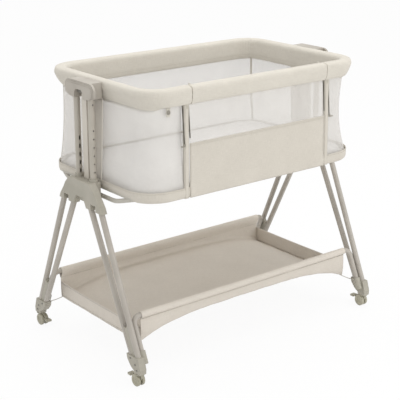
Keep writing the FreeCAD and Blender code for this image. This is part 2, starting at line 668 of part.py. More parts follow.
PIVOT = "stem_y - pedal_pivot"
EAR = "fork_thick / 2 + ear_gap"
pedal_pad = box("pedal_pad", ("end_x - pedal_half", "end_x + pedal_half"),
                (PIVOT + " - pedal_long", PIVOT + " - pedal_plate"),
                ("pedal_z - 4.5", "pedal_z - 4.5 + pedal_thick"))
ears = []
for side in ("-", "+"):
    edges = ("end_x %s (%s)" % (side, EAR), "end_x %s (%s + ear_thick)" % (side, EAR))
    ears.append(box("pedal_ear", edges if side == "+" else edges[::-1],
                    (PIVOT + " - pedal_plate - 0.5", PIVOT + " + 2.8"), ("pedal_z - 3", "pedal_z + 3")))
pedal_pin = rod("pedal_pin_rod", "pedal_pin / 2", "2 * (%s + ear_thick)" % EAR,
                ("end_x - (%s) - ear_thick" % EAR, PIVOT, "pedal_z"), "x")
four_corners("brake_pedal", fuse("pedal", pedal_pad, pedal_pin, *ears))


# ---- bent tubes and rounded rings, made with the kernel's own sweeps ------------------

def bent_path(points, radius):
    """Straight runs joined by tangent arcs of one radius."""
    edges = []
    start = points[0]
    for before, corner, after in zip(points, points[1:], points[2:]):
        to_corner = (corner - before).normalize()
        from_corner = (after - corner).normalize()
        turn = to_corner.getAngle(from_corner)
        reach = radius * math.tan(turn / 2)
        first = corner - to_corner * reach
        last = corner + from_corner * reach
        inward = (from_corner - to_corner).normalize()
        middle = corner + inward * (radius / math.cos(turn / 2) - radius)
        edges.append(Part.LineSegment(start, first).toShape())
        edges.append(Part.Arc(first, middle, last).toShape())
        start = last
    edges.append(Part.LineSegment(start, points[-1]).toShape())
    return Part.Wire(edges)


def bent_tube(points, radius, diameter, wall):
    path = bent_path(points, radius)
    along = points[1] - points[0]
    solids = []
    for r in (diameter / 2, diameter / 2 - wall):
        section = Part.Wire(Part.makeCircle(r, points[0], along))
        solids.append(path.makePipeShell([section], True, False))
    tube = solids[0].cut(solids[1])
    length = path.Length
    inside = diameter / 2 - wall
    wanted = math.pi * (diameter ** 2 / 4 - inside ** 2) * length
    if abs(tube.Volume / wanted - 1) > 0.01:
        raise ValueError("a bent tube has the wrong volume")
    return tube


def rounded_wire(half_x, half_y, radius, z):
    """A level rectangle with round corners: four lines and four arcs."""
    edges = []
    for sx, sy in ((1, 1), (-1, 1), (-1, -1), (1, -1)):
        centre = Vector(sx * (half_x - radius), sy * (half_y - radius), z)
        start = math.atan2(sy, sx) - math.pi / 4
        spots = [centre + Vector(radius * math.cos(start + k * math.pi / 4),
                                 radius * math.sin(start + k * math.pi / 4), 0) for k in range(3)]
        if edges:
            edges.append(Part.LineSegment(edges[-1].valueAt(edges[-1].LastParameter), spots[0]).toShape())
        edges.append(Part.Arc(*spots).toShape())
    edges.append(Part.LineSegment(edges[-1].valueAt(edges[-1].LastParameter),
                                  edges[0].valueAt(edges[0].FirstParameter)).toShape())
    return Part.Wire(edges)


def slab(half_x, half_y, radius, low, high):
    face = Part.Face(rounded_wire(half_x, half_y, radius, low))
    return face.extrude(Vector(0, 0, high - low))


def ring_rod(half_x, half_y, bend, z, radius):
    """A round bar along a level rounded rectangle."""
    pieces = []
    straight_x, straight_y = half_x - bend, half_y - bend
    for sign in (1, -1):
        pieces.append(Part.makeCylinder(radius, 2 * straight_x, Vector(-straight_x, sign * half_y, z), Vector(1, 0, 0)))
        pieces.append(Part.makeCylinder(radius, 2 * straight_y, Vector(sign * half_x, -straight_y, z), Vector(0, 1, 0)))
    for quarter in range(4):
        angle = math.radians(90 * quarter)
        sx = 1 if quarter in (0, 3) else -1
        sy = 1 if quarter in (0, 1) else -1
        centre = Vector(sx * straight_x, sy * straight_y, z)
        start = centre + Vector(bend * math.cos(angle), bend * math.sin(angle), 0)
        side = Vector(-math.sin(angle), math.cos(angle), 0)
        section = Part.Face(Part.Wire(Part.makeCircle(radius, start, side)))
        pieces.append(section.revolve(centre, Vector(0, 0, 1), 90))
    return pieces[0].fuse(pieces[1:]).removeSplitter()


def ring_tube(half_x, half_y, bend, z, diameter, wall):
    outer = ring_rod(half_x, half_y, bend, z, diameter / 2)
    return outer.cut(ring_rod(half_x, half_y, bend, z, diameter / 2 - wall))


def block(x, y, z):
    return Part.makeBox(x[1] - x[0], y[1] - y[0], z[1] - z[0], Vector(x[0], y[0], z[0]))


def upright(x, y, low, high, radius):
    return Part.makeCylinder(radius, high - low, Vector(x, y, low))


def spread(spot):
    """The same place at all four signs of X and Y."""
    return [Vector(sx * spot.x, sy * spot.y, spot.z) for sx in (1, -1) for sy in (1, -1)]


def line_rod(first, last, radius):
    return Part.makeCylinder(radius, (last - first).Length, first, last - first)


# ---- storage rails: one bent tube along each side, its ends in the boots ---------------

for side, word in ((-1, "front"), (1, "rear")):
    foot = Vector(val("rail_x"), side * val("rail_foot_y"), val("rail_foot_z"))
    knee = Vector(val("rail_x"), side * val("rail_y"), val("rail_z"))
    route = [Vector(-foot.x, foot.y, foot.z), Vector(-knee.x, knee.y, knee.z), knee, foot]
    tube = bent_tube(route, val("rail_bend"), val("rail_dia"), val("rail_wall"))
    keep(feature("storage_rail_" + word, tube), "storage_rail_" + word)

# ---- storage tray: cloth sleeves on the rails, side flaps, end walls, arched floor ------

tray_x, cloth = val("tray_x"), val("tray_cloth")
steps = 14


def tray_floor_z(x):
    return val("tray_mid_z") - val("tray_drop") * abs(x / tray_x) ** 4


floor_xs = [tray_x * math.sin(math.pi / 2 * k / (steps / 2)) for k in range(-steps // 2, steps // 2 + 1)]
rail_y, rail_z = val("rail_y"), val("rail_z")
sleeve_bore = val("rail_dia / 2 + tray_sleeve_gap")
sleeve_low = rail_z - sleeve_bore - cloth / 2


def tray_profile(bottom, top, low_y, high_y):
    """A flat or arched sheet: a closed outline in XZ, pushed along Y."""
    points = [Vector(x, low_y, bottom(x)) for x in floor_xs]
    points += [Vector(x, low_y, top(x)) for x in reversed(floor_xs)]
    wire = Part.makePolygon(points + points[:1])
    return Part.Face(wire).extrude(Vector(0, high_y - low_y, 0))


flap_in = rail_y - cloth / 2
floor = tray_profile(lambda x: tray_floor_z(x) - cloth, tray_floor_z, -flap_in, flap_in)
keep(feature("tray_floor", floor), "tray_floor")

sides, ends = [], []
for side in (-1, 1):
    middle = side * rail_y
    flap = tray_profile(lambda x: tray_floor_z(x) - cloth, lambda x: sleeve_low, middle - cloth / 2, middle + cloth / 2)
    sleeve = Part.makeCylinder(sleeve_bore + cloth, 2 * tray_x, Vector(-tray_x, middle, rail_z), Vector(1, 0, 0))
    bore = Part.makeCylinder(sleeve_bore, 4 * tray_x, Vector(-2 * tray_x, middle, rail_z), Vector(1, 0, 0))
    sides.append(flap.fuse(sleeve).cut(bore).removeSplitter())
    wall_x = side * tray_x
    end = block(sorted((wall_x, wall_x - side * cloth)), (-flap_in, flap_in),
                (tray_floor_z(tray_x) - cloth / 2, val("tray_end_top")))
    ends.append(end.cut(floor))
keep(feature("tray_sides", Part.makeCompound(sides)), "tray_sides")
keep(feature("tray_ends", Part.makeCompound(ends)), "tray_ends")

# ---- corner elastics: from each corner of the tray's floor to its boot -----------------

elastic_r = val("elastic_dia / 2")
elastic_start = Vector(tray_x + elastic_r, rail_y - 3, tray_floor_z(tray_x) + 2)
elastic_end = Vector(val("end_x - boot_thick / 2") - elastic_r,
                     val("%s + 3" % inner_y("foot_z")), val("boot_top") - 6)
keep(feature("corner_elastics", Part.makeCompound(
    [line_rod(a, b, elastic_r) for a, b in zip(spread(elastic_start), spread(elastic_end))])),
    "corner_elastics")

# ---- frame screws: heads on the boots' and hubs' outer faces ---------------------------

screws = []
for sx in (1, -1):
    face_x = sx * val("end_x + boot_thick / 2")
    for sy in (1, -1):
        for y, z in ((inner_y("foot_z") + " + screw_upper_in", "screw_upper_z"),
                     ("stem_y - screw_mid_in", "screw_mid_z"), ("stem_y", "screw_low_z")):
            screws.append(Part.makeCylinder(val("screw_dia / 2"), val("screw_tall"),
                                            Vector(face_x, sy * val(y), val(z)), Vector(sx, 0, 0)))
keep(feature("frame_screws", Part.makeCompound(screws)), "frame_screws")

# ---- rim tube and the drop rail's tube: one ring, parted at the two seams --------------

rim_x, rim_y, rim_z, rim_bend = val("rim_x"), val("rim_y"), val("rim_z"), val("rim_bend")
rim_ring = ring_tube(rim_x, rim_y, rim_bend, rim_z, val("rim_dia"), val("rim_wall"))
gate_half, seam = val("gate_half"), val("seam_gap")
far = 2 * rim_x


def front_slice(half):
    return block((-half, half), (-far, 0), (0, 2 * rim_z))


keep(feature("rim_tube", rim_ring.cut(front_slice(gate_half + seam + 0.5))), "rim_tube")
keep(feature("gate_tube", rim_ring.common(front_slice(gate_half - seam - val("gate_tube_short")))), "gate_tube")

# ---- padding on the rim and on the drop rail --------------------------------------------

pad_half, pad_low, pad_top = val("pad_half"), val(PAD_LOW), val(PAD_TOP)
pad_ring = slab(rim_x + pad_half, rim_y + pad_half, rim_bend + pad_half, pad_low, pad_top)
pad_ring = pad_ring.cut(slab(rim_x - pad_half, rim_y - pad_half, rim_bend - pad_half, pad_low - 1, pad_top + 1))
for height, radius in ((pad_top, val("pad_round_top")), (pad_low, val("pad_round_low"))):
    level = [edge for edge in pad_ring.Edges if abs(edge.BoundBox.ZMin - height) < 1e-3
             and abs(edge.BoundBox.ZMax - height) < 1e-3]
    pad_ring = pad_ring.makeFillet(radius, level)
gap = val("cloth_gap")
pad_ring = pad_ring.cut(ring_rod(rim_x, rim_y, rim_bend, rim_z, val("rim_dia / 2") + gap))
saddle_y, saddle_half = val("saddle_y"), val("saddle_half")
strut_x, strut_y = val(STRUT_X), val(STRUT_Y)
pad_tools = []
for side in (-1, 1):
    inner, outer = val(SADDLE_IN) - gap, rim_x + pad_half + 1
    pad_tools.append(block(sorted((side * inner, side * outer)), (-saddle_y - gap, saddle_y + gap),
                           (rim_z - saddle_half - gap, rim_z + saddle_half + gap)))
    pad_tools.append(upright(side * strut_x, -strut_y, pad_low - 1, rim_z, val("connector_dia / 2") + gap))
button_well = val("button_dia / 2") + gap
gate_tools = [upright(side * val(BUTTON_X), -val(BUTTON_Y), val(BUTTON_LOW + " - button_room"), pad_top + 1, button_well)
              for side in (-1, 1)]
keep(feature("rim_pad", pad_ring.cut(front_slice(gate_half + seam)).cut(pad_tools)), "rim_pad")
keep(feature("gate_pad", pad_ring.common(front_slice(gate_half - seam)).cut(gate_tools)), "gate_pad")

# ---- release buttons in the drop rail ------------------------------------------------------

for side, word in ((-1, "left"), (1, "right")):
    button = rod("gate_button_" + word, "button_dia / 2", "button_in + button_proud",
                 ("%d * %s" % (side, BUTTON_X), "-" + BUTTON_Y, BUTTON_LOW))
    keep(button, "gate_button_" + word)

# ---- rim housings: castings that join the rim to the slide tubes ---------------------------

housing_plan = [(HOUSING_IN, "housing_waist_y"), ("end_x - housing_cheek_back", "housing_waist_y"),
                ("end_x - housing_cheek_back", "housing_cheek_y"), (HOUSING_OUT, "housing_face_y")]
housing_plan = housing_plan + [(a, "-(%s)" % b) for a, b in reversed(housing_plan)]
housing_low_half = [
    ("housing_tongue_y", "housing_low + housing_hem / 3"),
    ("housing_arch_y", "housing_low"),
    ("housing_arch_y", "housing_arch_z"),
    ("housing_arch_y - 8", "housing_crown_z"),
]
ROUND_SPOTS = 5
terraces = []
for level in range(3):
    # each terrace stands further out and is smaller round its upper corners
    centre_y = "housing_cheek_y - housing_round"
    centre_z = "%s - housing_round" % HOUSING_TOP
    radius = "housing_round - %d * housing_terrace" % level
    view_half = []
    for spot in range(ROUND_SPOTS + 1):
        angle = math.pi / 2 * (1 - spot / ROUND_SPOTS)
        view_half.append(("%s + (%s) * %.5f" % (centre_y, radius, math.cos(angle)),
                          "%s + (%s) * %.5f" % (centre_z, radius, math.sin(angle))))
    view_half.append(("housing_cheek_y - %d * housing_terrace" % level, "housing_low + housing_hem + housing_terrace"))
    view_half.append(("housing_cheek_y - (%d + 1) * housing_terrace" % level, "housing_low + housing_hem"))
    view_half = view_half + housing_low_half
    terraces.append(plate("housing_view", "YZ_Plane", view_half + minus(view_half[::-1]),
                          "2 * (%s - (2 - %d) * housing_step)" % (HOUSING_OUT, level)))
plan_body = plate("housing_plan", "XY_Plane", housing_plan, HOUSING_TOP, ("0", "0", HOUSING_TOP + " - 40"))
housing_shell = doc.addObject("Part::MultiCommon", "housing_shell")
housing_shell.Shapes = [plan_body, fuse("housing_views", *terraces)]
saddle = box("saddle", (SADDLE_IN, HOUSING_IN + " + 1"), ("-saddle_y", "saddle_y"),
             ("rim_z - saddle_half", "rim_z + saddle_half"))
POST_X = "end_x - post_inset"
COLUMN_X = "end_x - column_inset"
housing_tools = []
for side in ("", "-"):
    housing_tools.append(rod("post_well", "post_dia / 2 + post_well_fit", "post_well_top - housing_low + 20",
                             (POST_X, side + "post_y", "housing_low - 20")))
    housing_tools.append(rod("slide_bore", "inner_dia / 2 + socket_fit", "inner_top - housing_low",
                             (POST_X, side + "post_y", "housing_low")))
housing_tools.append(box("column_slot", (COLUMN_X + " - column_x / 2 - socket_fit", COLUMN_X + " + column_x / 2 + socket_fit"),
                         ("-column_y - socket_fit", "column_y + socket_fit"), ("housing_low", "inner_top")))
housing_tools.append(box("arch_back", ("end_x - block_in", TRIGGER_X),
                         ("-housing_arch_y", "housing_arch_y"), ("housing_low - 1", "housing_arch_z")))
housing_tools.append(box("trigger_cavity",
                         (TRIGGER_X + " - trigger_thick / 2 - trigger_gap",
                          TRIGGER_X + " + trigger_thick / 2 + trigger_gap"),
                         ("-trigger_y - trigger_gap", "trigger_y + trigger_gap"),
                         ("trigger_low", "trigger_low + trigger_tall + trigger_room")))
housing_tools.append(rod("saddle_bore", "rim_dia / 2 + socket_fit", "4 * saddle_y", ("rim_x", "-2 * saddle_y", "rim_z"), "y"))
both_ends("rim_housing", cut("housing", fuse("housing_solid", housing_shell, saddle), *housing_tools))

both_ends("release_trigger", box(
    "trigger", (TRIGGER_X + " - trigger_thick / 2", TRIGGER_X + " + trigger_thick / 2"), ("-trigger_y", "trigger_y"),
    ("trigger_low", "trigger_low + trigger_tall")))

# ---- slide tubes and latch columns: they hang from the housings ------------------------------

slides = []
for side in ("", "-"):
    at = (POST_X, side + "post_y", "inner_low")
    slides.append(cut("slide" + ("_b" if side else "_a"),
                      rod("slide_full", "inner_dia / 2", "inner_top - inner_low", at),
                      rod("slide_hole", "inner_dia / 2 - inner_wall", "inner_top - inner_low", at)))
both_ends("slide_tubes", group("slide_pair", *slides))

column = box("column", (COLUMN_X + " - column_x / 2", COLUMN_X + " + column_x / 2"),
             ("-column_y", "column_y"), ("column_low", "inner_top"))
lug = box("column_lug", ("band_x + cloth_gap", COLUMN_X), ("-column_y", "column_y"), ("lug_low", "lug_low + lug_tall"))
pin_wells = [rod("pin_well", "pin_dia / 2 + socket_fit", "column_y",
                 (COLUMN_X, start, "notch_first"), "y") for start in ("pin_in", "-pin_in - column_y")]
both_ends("latch_column", cut("latch_column", fuse("column_solid", column, lug), *pin_wells))

pins = []
for sx in (1, -1):
    for start, end in (("pin_in", "column_y"), ("-column_y", "-pin_in")):
        pins.append(line_rod(Vector(sx * val(COLUMN_X), val(start), val("notch_first")),
                             Vector(sx * val(COLUMN_X), val(end), val("notch_first")), val("pin_dia / 2")))
keep(feature("lock_pins", Part.makeCompound(pins)), "lock_pins")

# ---- bottom ring, end carriers, struts and connectors -----------------------------------------

band_x, band_y, band_bend = val("band_x"), val("band_y"), val("band_bend")
band_thick, band_low, band_top = val("band_thick"), val("band_low"), val("band_top")
ring_r = val("ring_dia / 2")
ring_in = band_thick + gap + ring_r
base_top = band_low + band_thick
ring_z = base_top + gap + ring_r
ring_x, ring_y = band_x - ring_in, band_y - ring_in
keep(feature("bottom_ring", ring_tube(ring_x, ring_y, band_bend - ring_in, ring_z, 2 * ring_r, val("ring_wall"))),
     "bottom_ring")

carriers = []
for side in (-1, 1):
    end = Vector(side * val("carrier_end_x"), val("carrier_end_y"), ring_z - 1)
    bend = Vector(side * val("carrier_x"), val("carrier_y"), val("carrier_z"))
    route = [Vector(end.x, -end.y, end.z), Vector(bend.x, -bend.y, bend.z), bend, end]
    carriers.append(bent_tube(route, val("carrier_bend"), val("carrier_dia"), val("carrier_wall")))
keep(feature("end_carriers", Part.makeCompound(carriers)), "end_carriers")

strut_low, strut_high = ring_z + ring_r + gap, rim_z - val("rim_dia / 2") - gap
struts, connectors = [], []
for side in (-1, 1):
    at = (side * strut_x, -strut_y)
    full = upright(*at, strut_low, strut_high, val("strut_dia / 2"))
    struts.append(full.cut(upright(*at, strut_low - 1, strut_high + 1, val("strut_dia / 2 - strut_wall"))))
    collar = upright(*at, val("connector_low"), strut_high, val("connector_dia / 2"))
    connectors.append(collar.cut(upright(*at, 0, strut_high + 1, val("strut_dia / 2 + socket_fit"))))
keep(feature("front_struts", Part.makeCompound(struts)), "front_struts")
keep(feature("rim_connectors", Part.makeCompound(connectors)), "rim_connectors")

# ---- mesh wall: a thin flared wall, open at the front between the struts ------------------------

wall_x, wall_y, wall_bend = val("wall_x"), val("wall_y"), val("wall_bend")
wall_thick, wall_low = val("wall_thick"), val("wall_low")
wall_top = pad_low - gap


def flare(z):
    """How far the wall stands out at a height, as a share of its whole flare."""
    return ((wall_top - z) / (wall_top - wall_low)) ** val("flare_power")


def wall_wire(z, inset):
    out = flare(z)
    return rounded_wire(wall_x + val("flare_x") * out - inset, wall_y + val("flare_y") * out - inset,
                        wall_bend + val("flare_bend") * out - inset, z)


wall_levels = [wall_top - (wall_top - wall_low) * share for share in (0, 0.3, 0.5, 0.65, 0.8, 0.9, 1)]
outside = Part.makeLoft([wall_wire(z, 0) for z in wall_levels], True, True)
inside = Part.makeLoft([wall_wire(z, wall_thick) for z in wall_levels], True, True)
wall = outside.cut(inside).cut(front_slice(val(PANEL_HALF) + 0.5))
keep(feature("mesh_wall", wall), "mesh_wall")

# ---- end strips, lower front panel and drop-side mesh ------------------------------------------------

STRIP_TOP = "%s - cloth_gap" % PAD_LOW
strip_points = [("strip_top_x - wall_thick", STRIP_TOP), ("strip_top_x", STRIP_TOP),
                ("band_x", "band_top + cloth_gap"), ("band_x - wall_thick", "band_top + cloth_gap")]
strips = [plate("end_strip_a", "XZ_Plane", strip_points, "2 * strip_y"),
          plate("end_strip_b", "XZ_Plane", minus(strip_points), "2 * strip_y")]
keep(group("end_strips_pair", *strips), "end_strips")

PANEL_TOP_Y = "(%s + strut_dia / 2 + cloth_gap + wall_thick)" % STRUT_Y
panel_points = [("-band_y", "band_top + cloth_gap"), ("-band_y + wall_thick", "band_top + cloth_gap"),
                ("-%s + wall_thick" % PANEL_TOP_Y, "hinge_z - fold_gap"), ("-" + PANEL_TOP_Y, "hinge_z - fold_gap")]
keep(plate("lower_front_panel", "YZ_Plane", panel_points, "2 * " + PANEL_HALF), "lower_front_panel")

gate_mesh_points = [("-" + PANEL_TOP_Y, "hinge_z + fold_gap"), ("-%s + wall_thick" % PANEL_TOP_Y, "hinge_z + fold_gap"),
                    ("-rim_y - gate_mesh_out + wall_thick", STRIP_TOP), ("-rim_y - gate_mesh_out", STRIP_TOP)]
keep(plate("gate_mesh", "YZ_Plane", gate_mesh_points, "2 * gate_half"), "gate_mesh")

# ---- bottom band with its base cloth, board and mattress ---------------------------------------------

band = slab(band_x, band_y, band_bend, band_low, band_top)
hollow = slab(band_x - band_thick, band_y - band_thick, band_bend - band_thick, base_top, band_top + 1)
band = band.cut(hollow)
for side in (-1, 1):
    reach = sorted((side * (ring_x - ring_r - 1), side * (band_x + 1)))
    band = band.cut(block(reach, (-val("band_lift_y"), val("band_lift_y")), (band_low - 1, band_low + val("band_lift"))))
    for sy in (-1, 1):
        rise = Vector(side * val("carrier_x"), sy * val("carrier_y"), val("carrier_z"))
        end = Vector(side * val("carrier_end_x"), sy * val("carrier_end_y"), ring_z - 1)
        band = band.cut(line_rod(rise, end + (end - rise) * 0.1, val("carrier_dia / 2") + 1))
keep(feature("bottom_band", band), "bottom_band")

board_low = base_top + gap
board_top = board_low + val("board_thick")
keep(feature("mattress_board", slab(val("board_x"), val("board_y"), val("board_bend"), board_low, board_top)),
     "mattress_board")


def cushion_wire(half_x, half_y, corner, pull, z):
    """A level outline whose sides draw in between its corners."""
    edges = []
    corners = []
    for sx, sy in ((1, 1), (-1, 1), (-1, -1), (1, -1)):
        centre = Vector(sx * (half_x - corner), sy * (half_y - corner), z)
        start = math.atan2(sy, sx) - math.pi / 4
        corners.append([centre + Vector(corner * math.cos(start + k * math.pi / 4),
                                        corner * math.sin(start + k * math.pi / 4), 0) for k in range(3)])
    middles = (Vector(0, half_y - pull, z), Vector(-half_x + pull, 0, z),
               Vector(0, -half_y + pull, z), Vector(half_x - pull, 0, z))
    for here, after, middle in zip(corners, corners[1:] + corners[:1], middles):
        edges.append(Part.Arc(*here).toShape())
        edges.append(Part.Arc(here[2], middle, after[0]).toShape())
    return Part.Wire(edges)


cushion_low = board_top + gap
side_tall, crown = val("mattress_side"), val("mattress_crown")
cushion_x = val("board_x - mattress_inset")
cushion_y = val("board_y - mattress_inset")
corner_r, pull = val("mattress_bend"), val("mattress_pull")
cushion_levels = (
    # inset from the edge, height above the board
    (7.0, 0.0),
    (0.8, side_tall * 0.25),
    (0.0, side_tall * 0.5),
    (1.6, side_tall * 0.8),
    (7.0, side_tall),
    (40.0, side_tall + crown * 0.55),
    (110.0, side_tall + crown),
)
cushion = Part.makeLoft([cushion_wire(cushion_x - inset, cushion_y - inset, max(corner_r - inset * 0.4, 8.0),
                                      pull * (1 - inset / 160), cushion_low + rise)
                         for inset, rise in cushion_levels], True, True)
keep(feature("mattress", cushion), "mattress")

# ---- snap tab under the front left of the rim ----------------------------------------------------------

tab_x, tab_wide, tab_tall = val("tab_x"), val("tab_wide"), val("tab_tall")
tab_y = -(wall_y + 6)
tab = block((-tab_x - tab_wide / 2, -tab_x + tab_wide / 2), (tab_y - wall_thick, tab_y), (wall_top - tab_tall, wall_top))
tab_ring = Part.makeTorus(val("tab_ring_r"), 1.1, Vector(-tab_x, tab_y - wall_thick - 1.1 - gap,
                                                        wall_top - tab_tall / 2), Vector(0, 1, 0))
keep(feature("snap_tab", Part.makeCompound([tab, tab_ring])), "snap_tab")

# ---- check the document, then write one file for each sub-part --------------------------------------------

doc.recompute()
failed = [thing.Name for thing in doc.Objects if "Invalid" in thing.State or "Error" in thing.State]
for thing in made:
    if thing.Shape.isNull() or not thing.Shape.isValid() or thing.Shape.Volume <= 0:
        failed.append(thing.Label)
if failed:
    raise RuntimeError("these did not build: " + ", ".join(failed))
os.makedirs("parts", exist_ok=True)
for thing in made:
    thing.Shape.exportStep(os.path.join("parts", thing.Label + ".step"))
    print("%-28s %2d solids %9.0f mm3" % (thing.Label, len(thing.Shape.Solids), thing.Shape.Volume))
print(len(made), "sub-parts")
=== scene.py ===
import math
from contextlib import contextmanager

import bmesh
import bpy
import numpy as np
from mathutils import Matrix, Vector, noise


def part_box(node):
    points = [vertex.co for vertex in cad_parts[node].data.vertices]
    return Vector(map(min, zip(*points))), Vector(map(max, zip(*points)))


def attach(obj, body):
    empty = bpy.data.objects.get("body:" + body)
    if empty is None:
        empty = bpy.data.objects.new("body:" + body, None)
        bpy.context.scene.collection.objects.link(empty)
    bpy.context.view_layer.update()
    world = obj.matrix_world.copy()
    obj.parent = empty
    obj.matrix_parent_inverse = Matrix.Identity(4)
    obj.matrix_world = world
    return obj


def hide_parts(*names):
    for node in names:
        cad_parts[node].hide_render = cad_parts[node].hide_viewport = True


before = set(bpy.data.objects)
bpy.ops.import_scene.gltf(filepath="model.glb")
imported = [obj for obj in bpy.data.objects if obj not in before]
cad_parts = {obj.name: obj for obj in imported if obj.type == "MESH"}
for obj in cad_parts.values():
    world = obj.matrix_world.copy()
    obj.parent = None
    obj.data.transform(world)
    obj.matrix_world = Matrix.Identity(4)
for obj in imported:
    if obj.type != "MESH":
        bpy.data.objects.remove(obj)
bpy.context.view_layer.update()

# ---- legs and storage rails ----------------------------------------------------------------
# Straight steel tubes in pairs at each corner, and one bent tube along each side between
# them. They are powder coated, so the finish is an even satin with a faint orange peel.


class Field:
    """A shader socket that arithmetic is written on."""

    def __init__(self, finish, socket):
        self.finish, self.socket = finish, socket

    def math(self, operation, *others):
        sockets = dict(enumerate((self,) + others))
        return self.finish.node("ShaderNodeMath", {"operation": operation}, sockets)

    def __add__(self, other):
        return self.math("ADD", other)

    def __mul__(self, other):
        return self.math("MULTIPLY", other)

    def __sub__(self, other):
        return self.math("SUBTRACT", other)

    def __rsub__(self, other):
        return (self * -1.0) + other

    __radd__ = __add__
    __rmul__ = __mul__

    def wave(self):
        """One sine per unit."""
        return (self * math.tau).math("SINE")

    def between(self, low, high):
        """0 below low, 1 above high, smooth between."""
        return self.finish.node("ShaderNodeMapRange", {"interpolation_type": "SMOOTHSTEP"},
                                {"Value": self, "From Min": low, "From Max": high})


class Finish:
    """One material: its shader, and one method that adds any other node."""

    def __init__(self, name, **fixed):
        self.material = bpy.data.materials.new(name)
        self.material.use_nodes = True
        self.tree = self.material.node_tree
        self.shader = self.tree.nodes["Principled BSDF"]
        self.paint(**fixed)

    def feed(self, socket, value):
        if isinstance(value, Field):
            self.tree.links.new(value.socket, socket)
        else:
            socket.default_value = value

    def paint(self, **sockets):
        for name, value in sockets.items():
            self.feed(self.shader.inputs[name.replace("_", " ")], value)
        return self.material

    def node(self, kind, settings=None, sockets=None, out=0):
        made = self.tree.nodes.new(kind)
        for name, value in (settings or {}).items():
            setattr(made, name, value)
        for name, value in (sockets or {}).items():
            self.feed(made.inputs[name], value)
        return Field(self, made.outputs[out])

    def noise(self, scale, detail=3.0, where=None):
        where = where or self.node("ShaderNodeTexCoord", out="Object")
        sockets = {"Vector": where, "Scale": scale, "Detail": detail}
        return self.node("ShaderNodeTexNoise", None, sockets)

    def axes(self, vector, scale):
        """X and Y of a vector, scaled."""
        scaled = self.node("ShaderNodeVectorMath", {"operation": "SCALE"}, {0: vector, "Scale": scale})
        split = self.node("ShaderNodeSeparateXYZ", None, {0: scaled}).socket.node.outputs
        return Field(self, split[0]), Field(self, split[1])

    def tones(self, dark, light, amount):
        colours = {0: amount, 6: (*dark, 1), 7: (*light, 1)}
        return self.node("ShaderNodeMix", {"data_type": "RGBA"}, colours, 2)

    def bump(self, height, depth, normal=None):
        sockets = {"Height": height, "Distance": depth, "Strength": 1.0}
        if normal:
            sockets["Normal"] = normal
        return self.node("ShaderNodeBump", None, sockets)

    def soft_edges(self, radius):
        """The small round edges of a cast, cut or moulded piece."""
        return self.node("ShaderNodeBevel", {"samples": 4}, {"Radius": radius})


def srgb(*levels):
    """Linear colour of three 0-255 levels."""
    shares = [v / 255 for v in levels]
    return tuple(v / 12.92 if v <= 0.04045 else ((v + 0.055) / 1.055) ** 2.4 for v in shares)


def coated(name, dark, light, roughness):
    """Powder coat on a tube."""
    coat = Finish(name, Specular_IOR_Level=0.5)
    peel = coat.noise(420.0, 2.0)
    cloud = coat.noise(9.0, 4.0)
    coat.paint(Base_Color=coat.tones(dark, light, cloud.between(0.3, 0.7)),
               Roughness=peel * 0.12 + (roughness - 0.06),
               Normal=coat.bump(peel, 0.00008, coat.soft_edges(0.0006)))
    return coat.material


def dress(finish, *stems):
    """Gives the CAD pieces whose names start so their material."""
    for name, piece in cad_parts.items():
        if name.startswith(stems):
            piece.data.materials.clear()
            piece.data.materials.append(finish)


leg_coat = coated("leg_coat", srgb(172, 166, 157), srgb(186, 180, 171), 0.34)
dress(leg_coat, "legs_", "storage_rail_")

# ---- leg hubs, foot brackets and rim housings ----------------------------------------------
# Moulded nylon, in a greige close to the tubes', with a fine spark-eroded grain. The hubs
# clamp the four legs of an end, the brackets hold their feet, the housings carry the rim.


def moulded(name, dark, light, roughness, grain=900.0, radius=0.0012):
    plastic = Finish(name, Specular_IOR_Level=0.45)
    fine = plastic.noise(grain, 2.0)
    cloud = plastic.noise(14.0, 4.0)
    plastic.paint(Base_Color=plastic.tones(dark, light, cloud.between(0.32, 0.68)),
                  Roughness=fine * 0.16 + (roughness - 0.08),
                  Normal=plastic.bump(fine, 0.00010, plastic.soft_edges(radius)))
    return plastic.material


frame_nylon = moulded("frame_nylon", srgb(168, 164, 151), srgb(180, 175, 163), 0.5)
housing_nylon = moulded("housing_nylon", srgb(174, 167, 157), srgb(186, 180, 170), 0.5)
dress(frame_nylon, "hub_", "boot_")
dress(housing_nylon, "rim_housing_")

# ---- posts and latch columns ---------------------------------------------------------------
# Steel tubes with a row of height slots in which the basket's lock pins spring, and a flat
# bar between them that carries the pins. Coated a little warmer than the legs.

post_coat = coated("post_coat", srgb(178, 172, 160), srgb(190, 184, 173), 0.38)
# The latch columns' coat is the posts' tone made lighter: painted light that lifts the shade between the
# posts.
column_coat_painted_light = coated("column_coat_painted_light", srgb(200, 193, 181), srgb(210, 204, 193), 0.42)
dress(post_coat, "post_")
dress(column_coat_painted_light, "latch_column_")

# ---- frame screws, lock pins and slide tubes -----------------------------------------------
# Zinc plated pan heads with a hexagon socket hold the brackets to the legs, and the lock pins
# are zinc plated too. The inner slide tubes are plain drawn steel, dulled by grease.

zinc = Finish("zinc", Metallic=1.0)
scuff = zinc.noise(260.0, 5.0)
zinc.paint(Base_Color=zinc.tones(srgb(112, 110, 106), srgb(150, 148, 143), scuff),
           Roughness=scuff * 0.3 + 0.22)
steel = Finish("slide_steel", Metallic=0.9)
drawn = steel.noise(1.0, 4.0, steel.node("ShaderNodeMapping", None, {
    "Vector": steel.node("ShaderNodeTexCoord", out="Object"), "Scale": (700.0, 700.0, 12.0)}))
steel.paint(Base_Color=steel.tones(srgb(84, 82, 78), srgb(118, 115, 110), drawn),
            Roughness=drawn * 0.3 + 0.25)
dress(zinc.material, "lock_pins")
dress(steel.material, "slide_tubes_")


def placed(name, data):
    """A new object in the scene."""
    made = bpy.data.objects.new(name, data)
    bpy.context.scene.collection.objects.link(made)
    return made


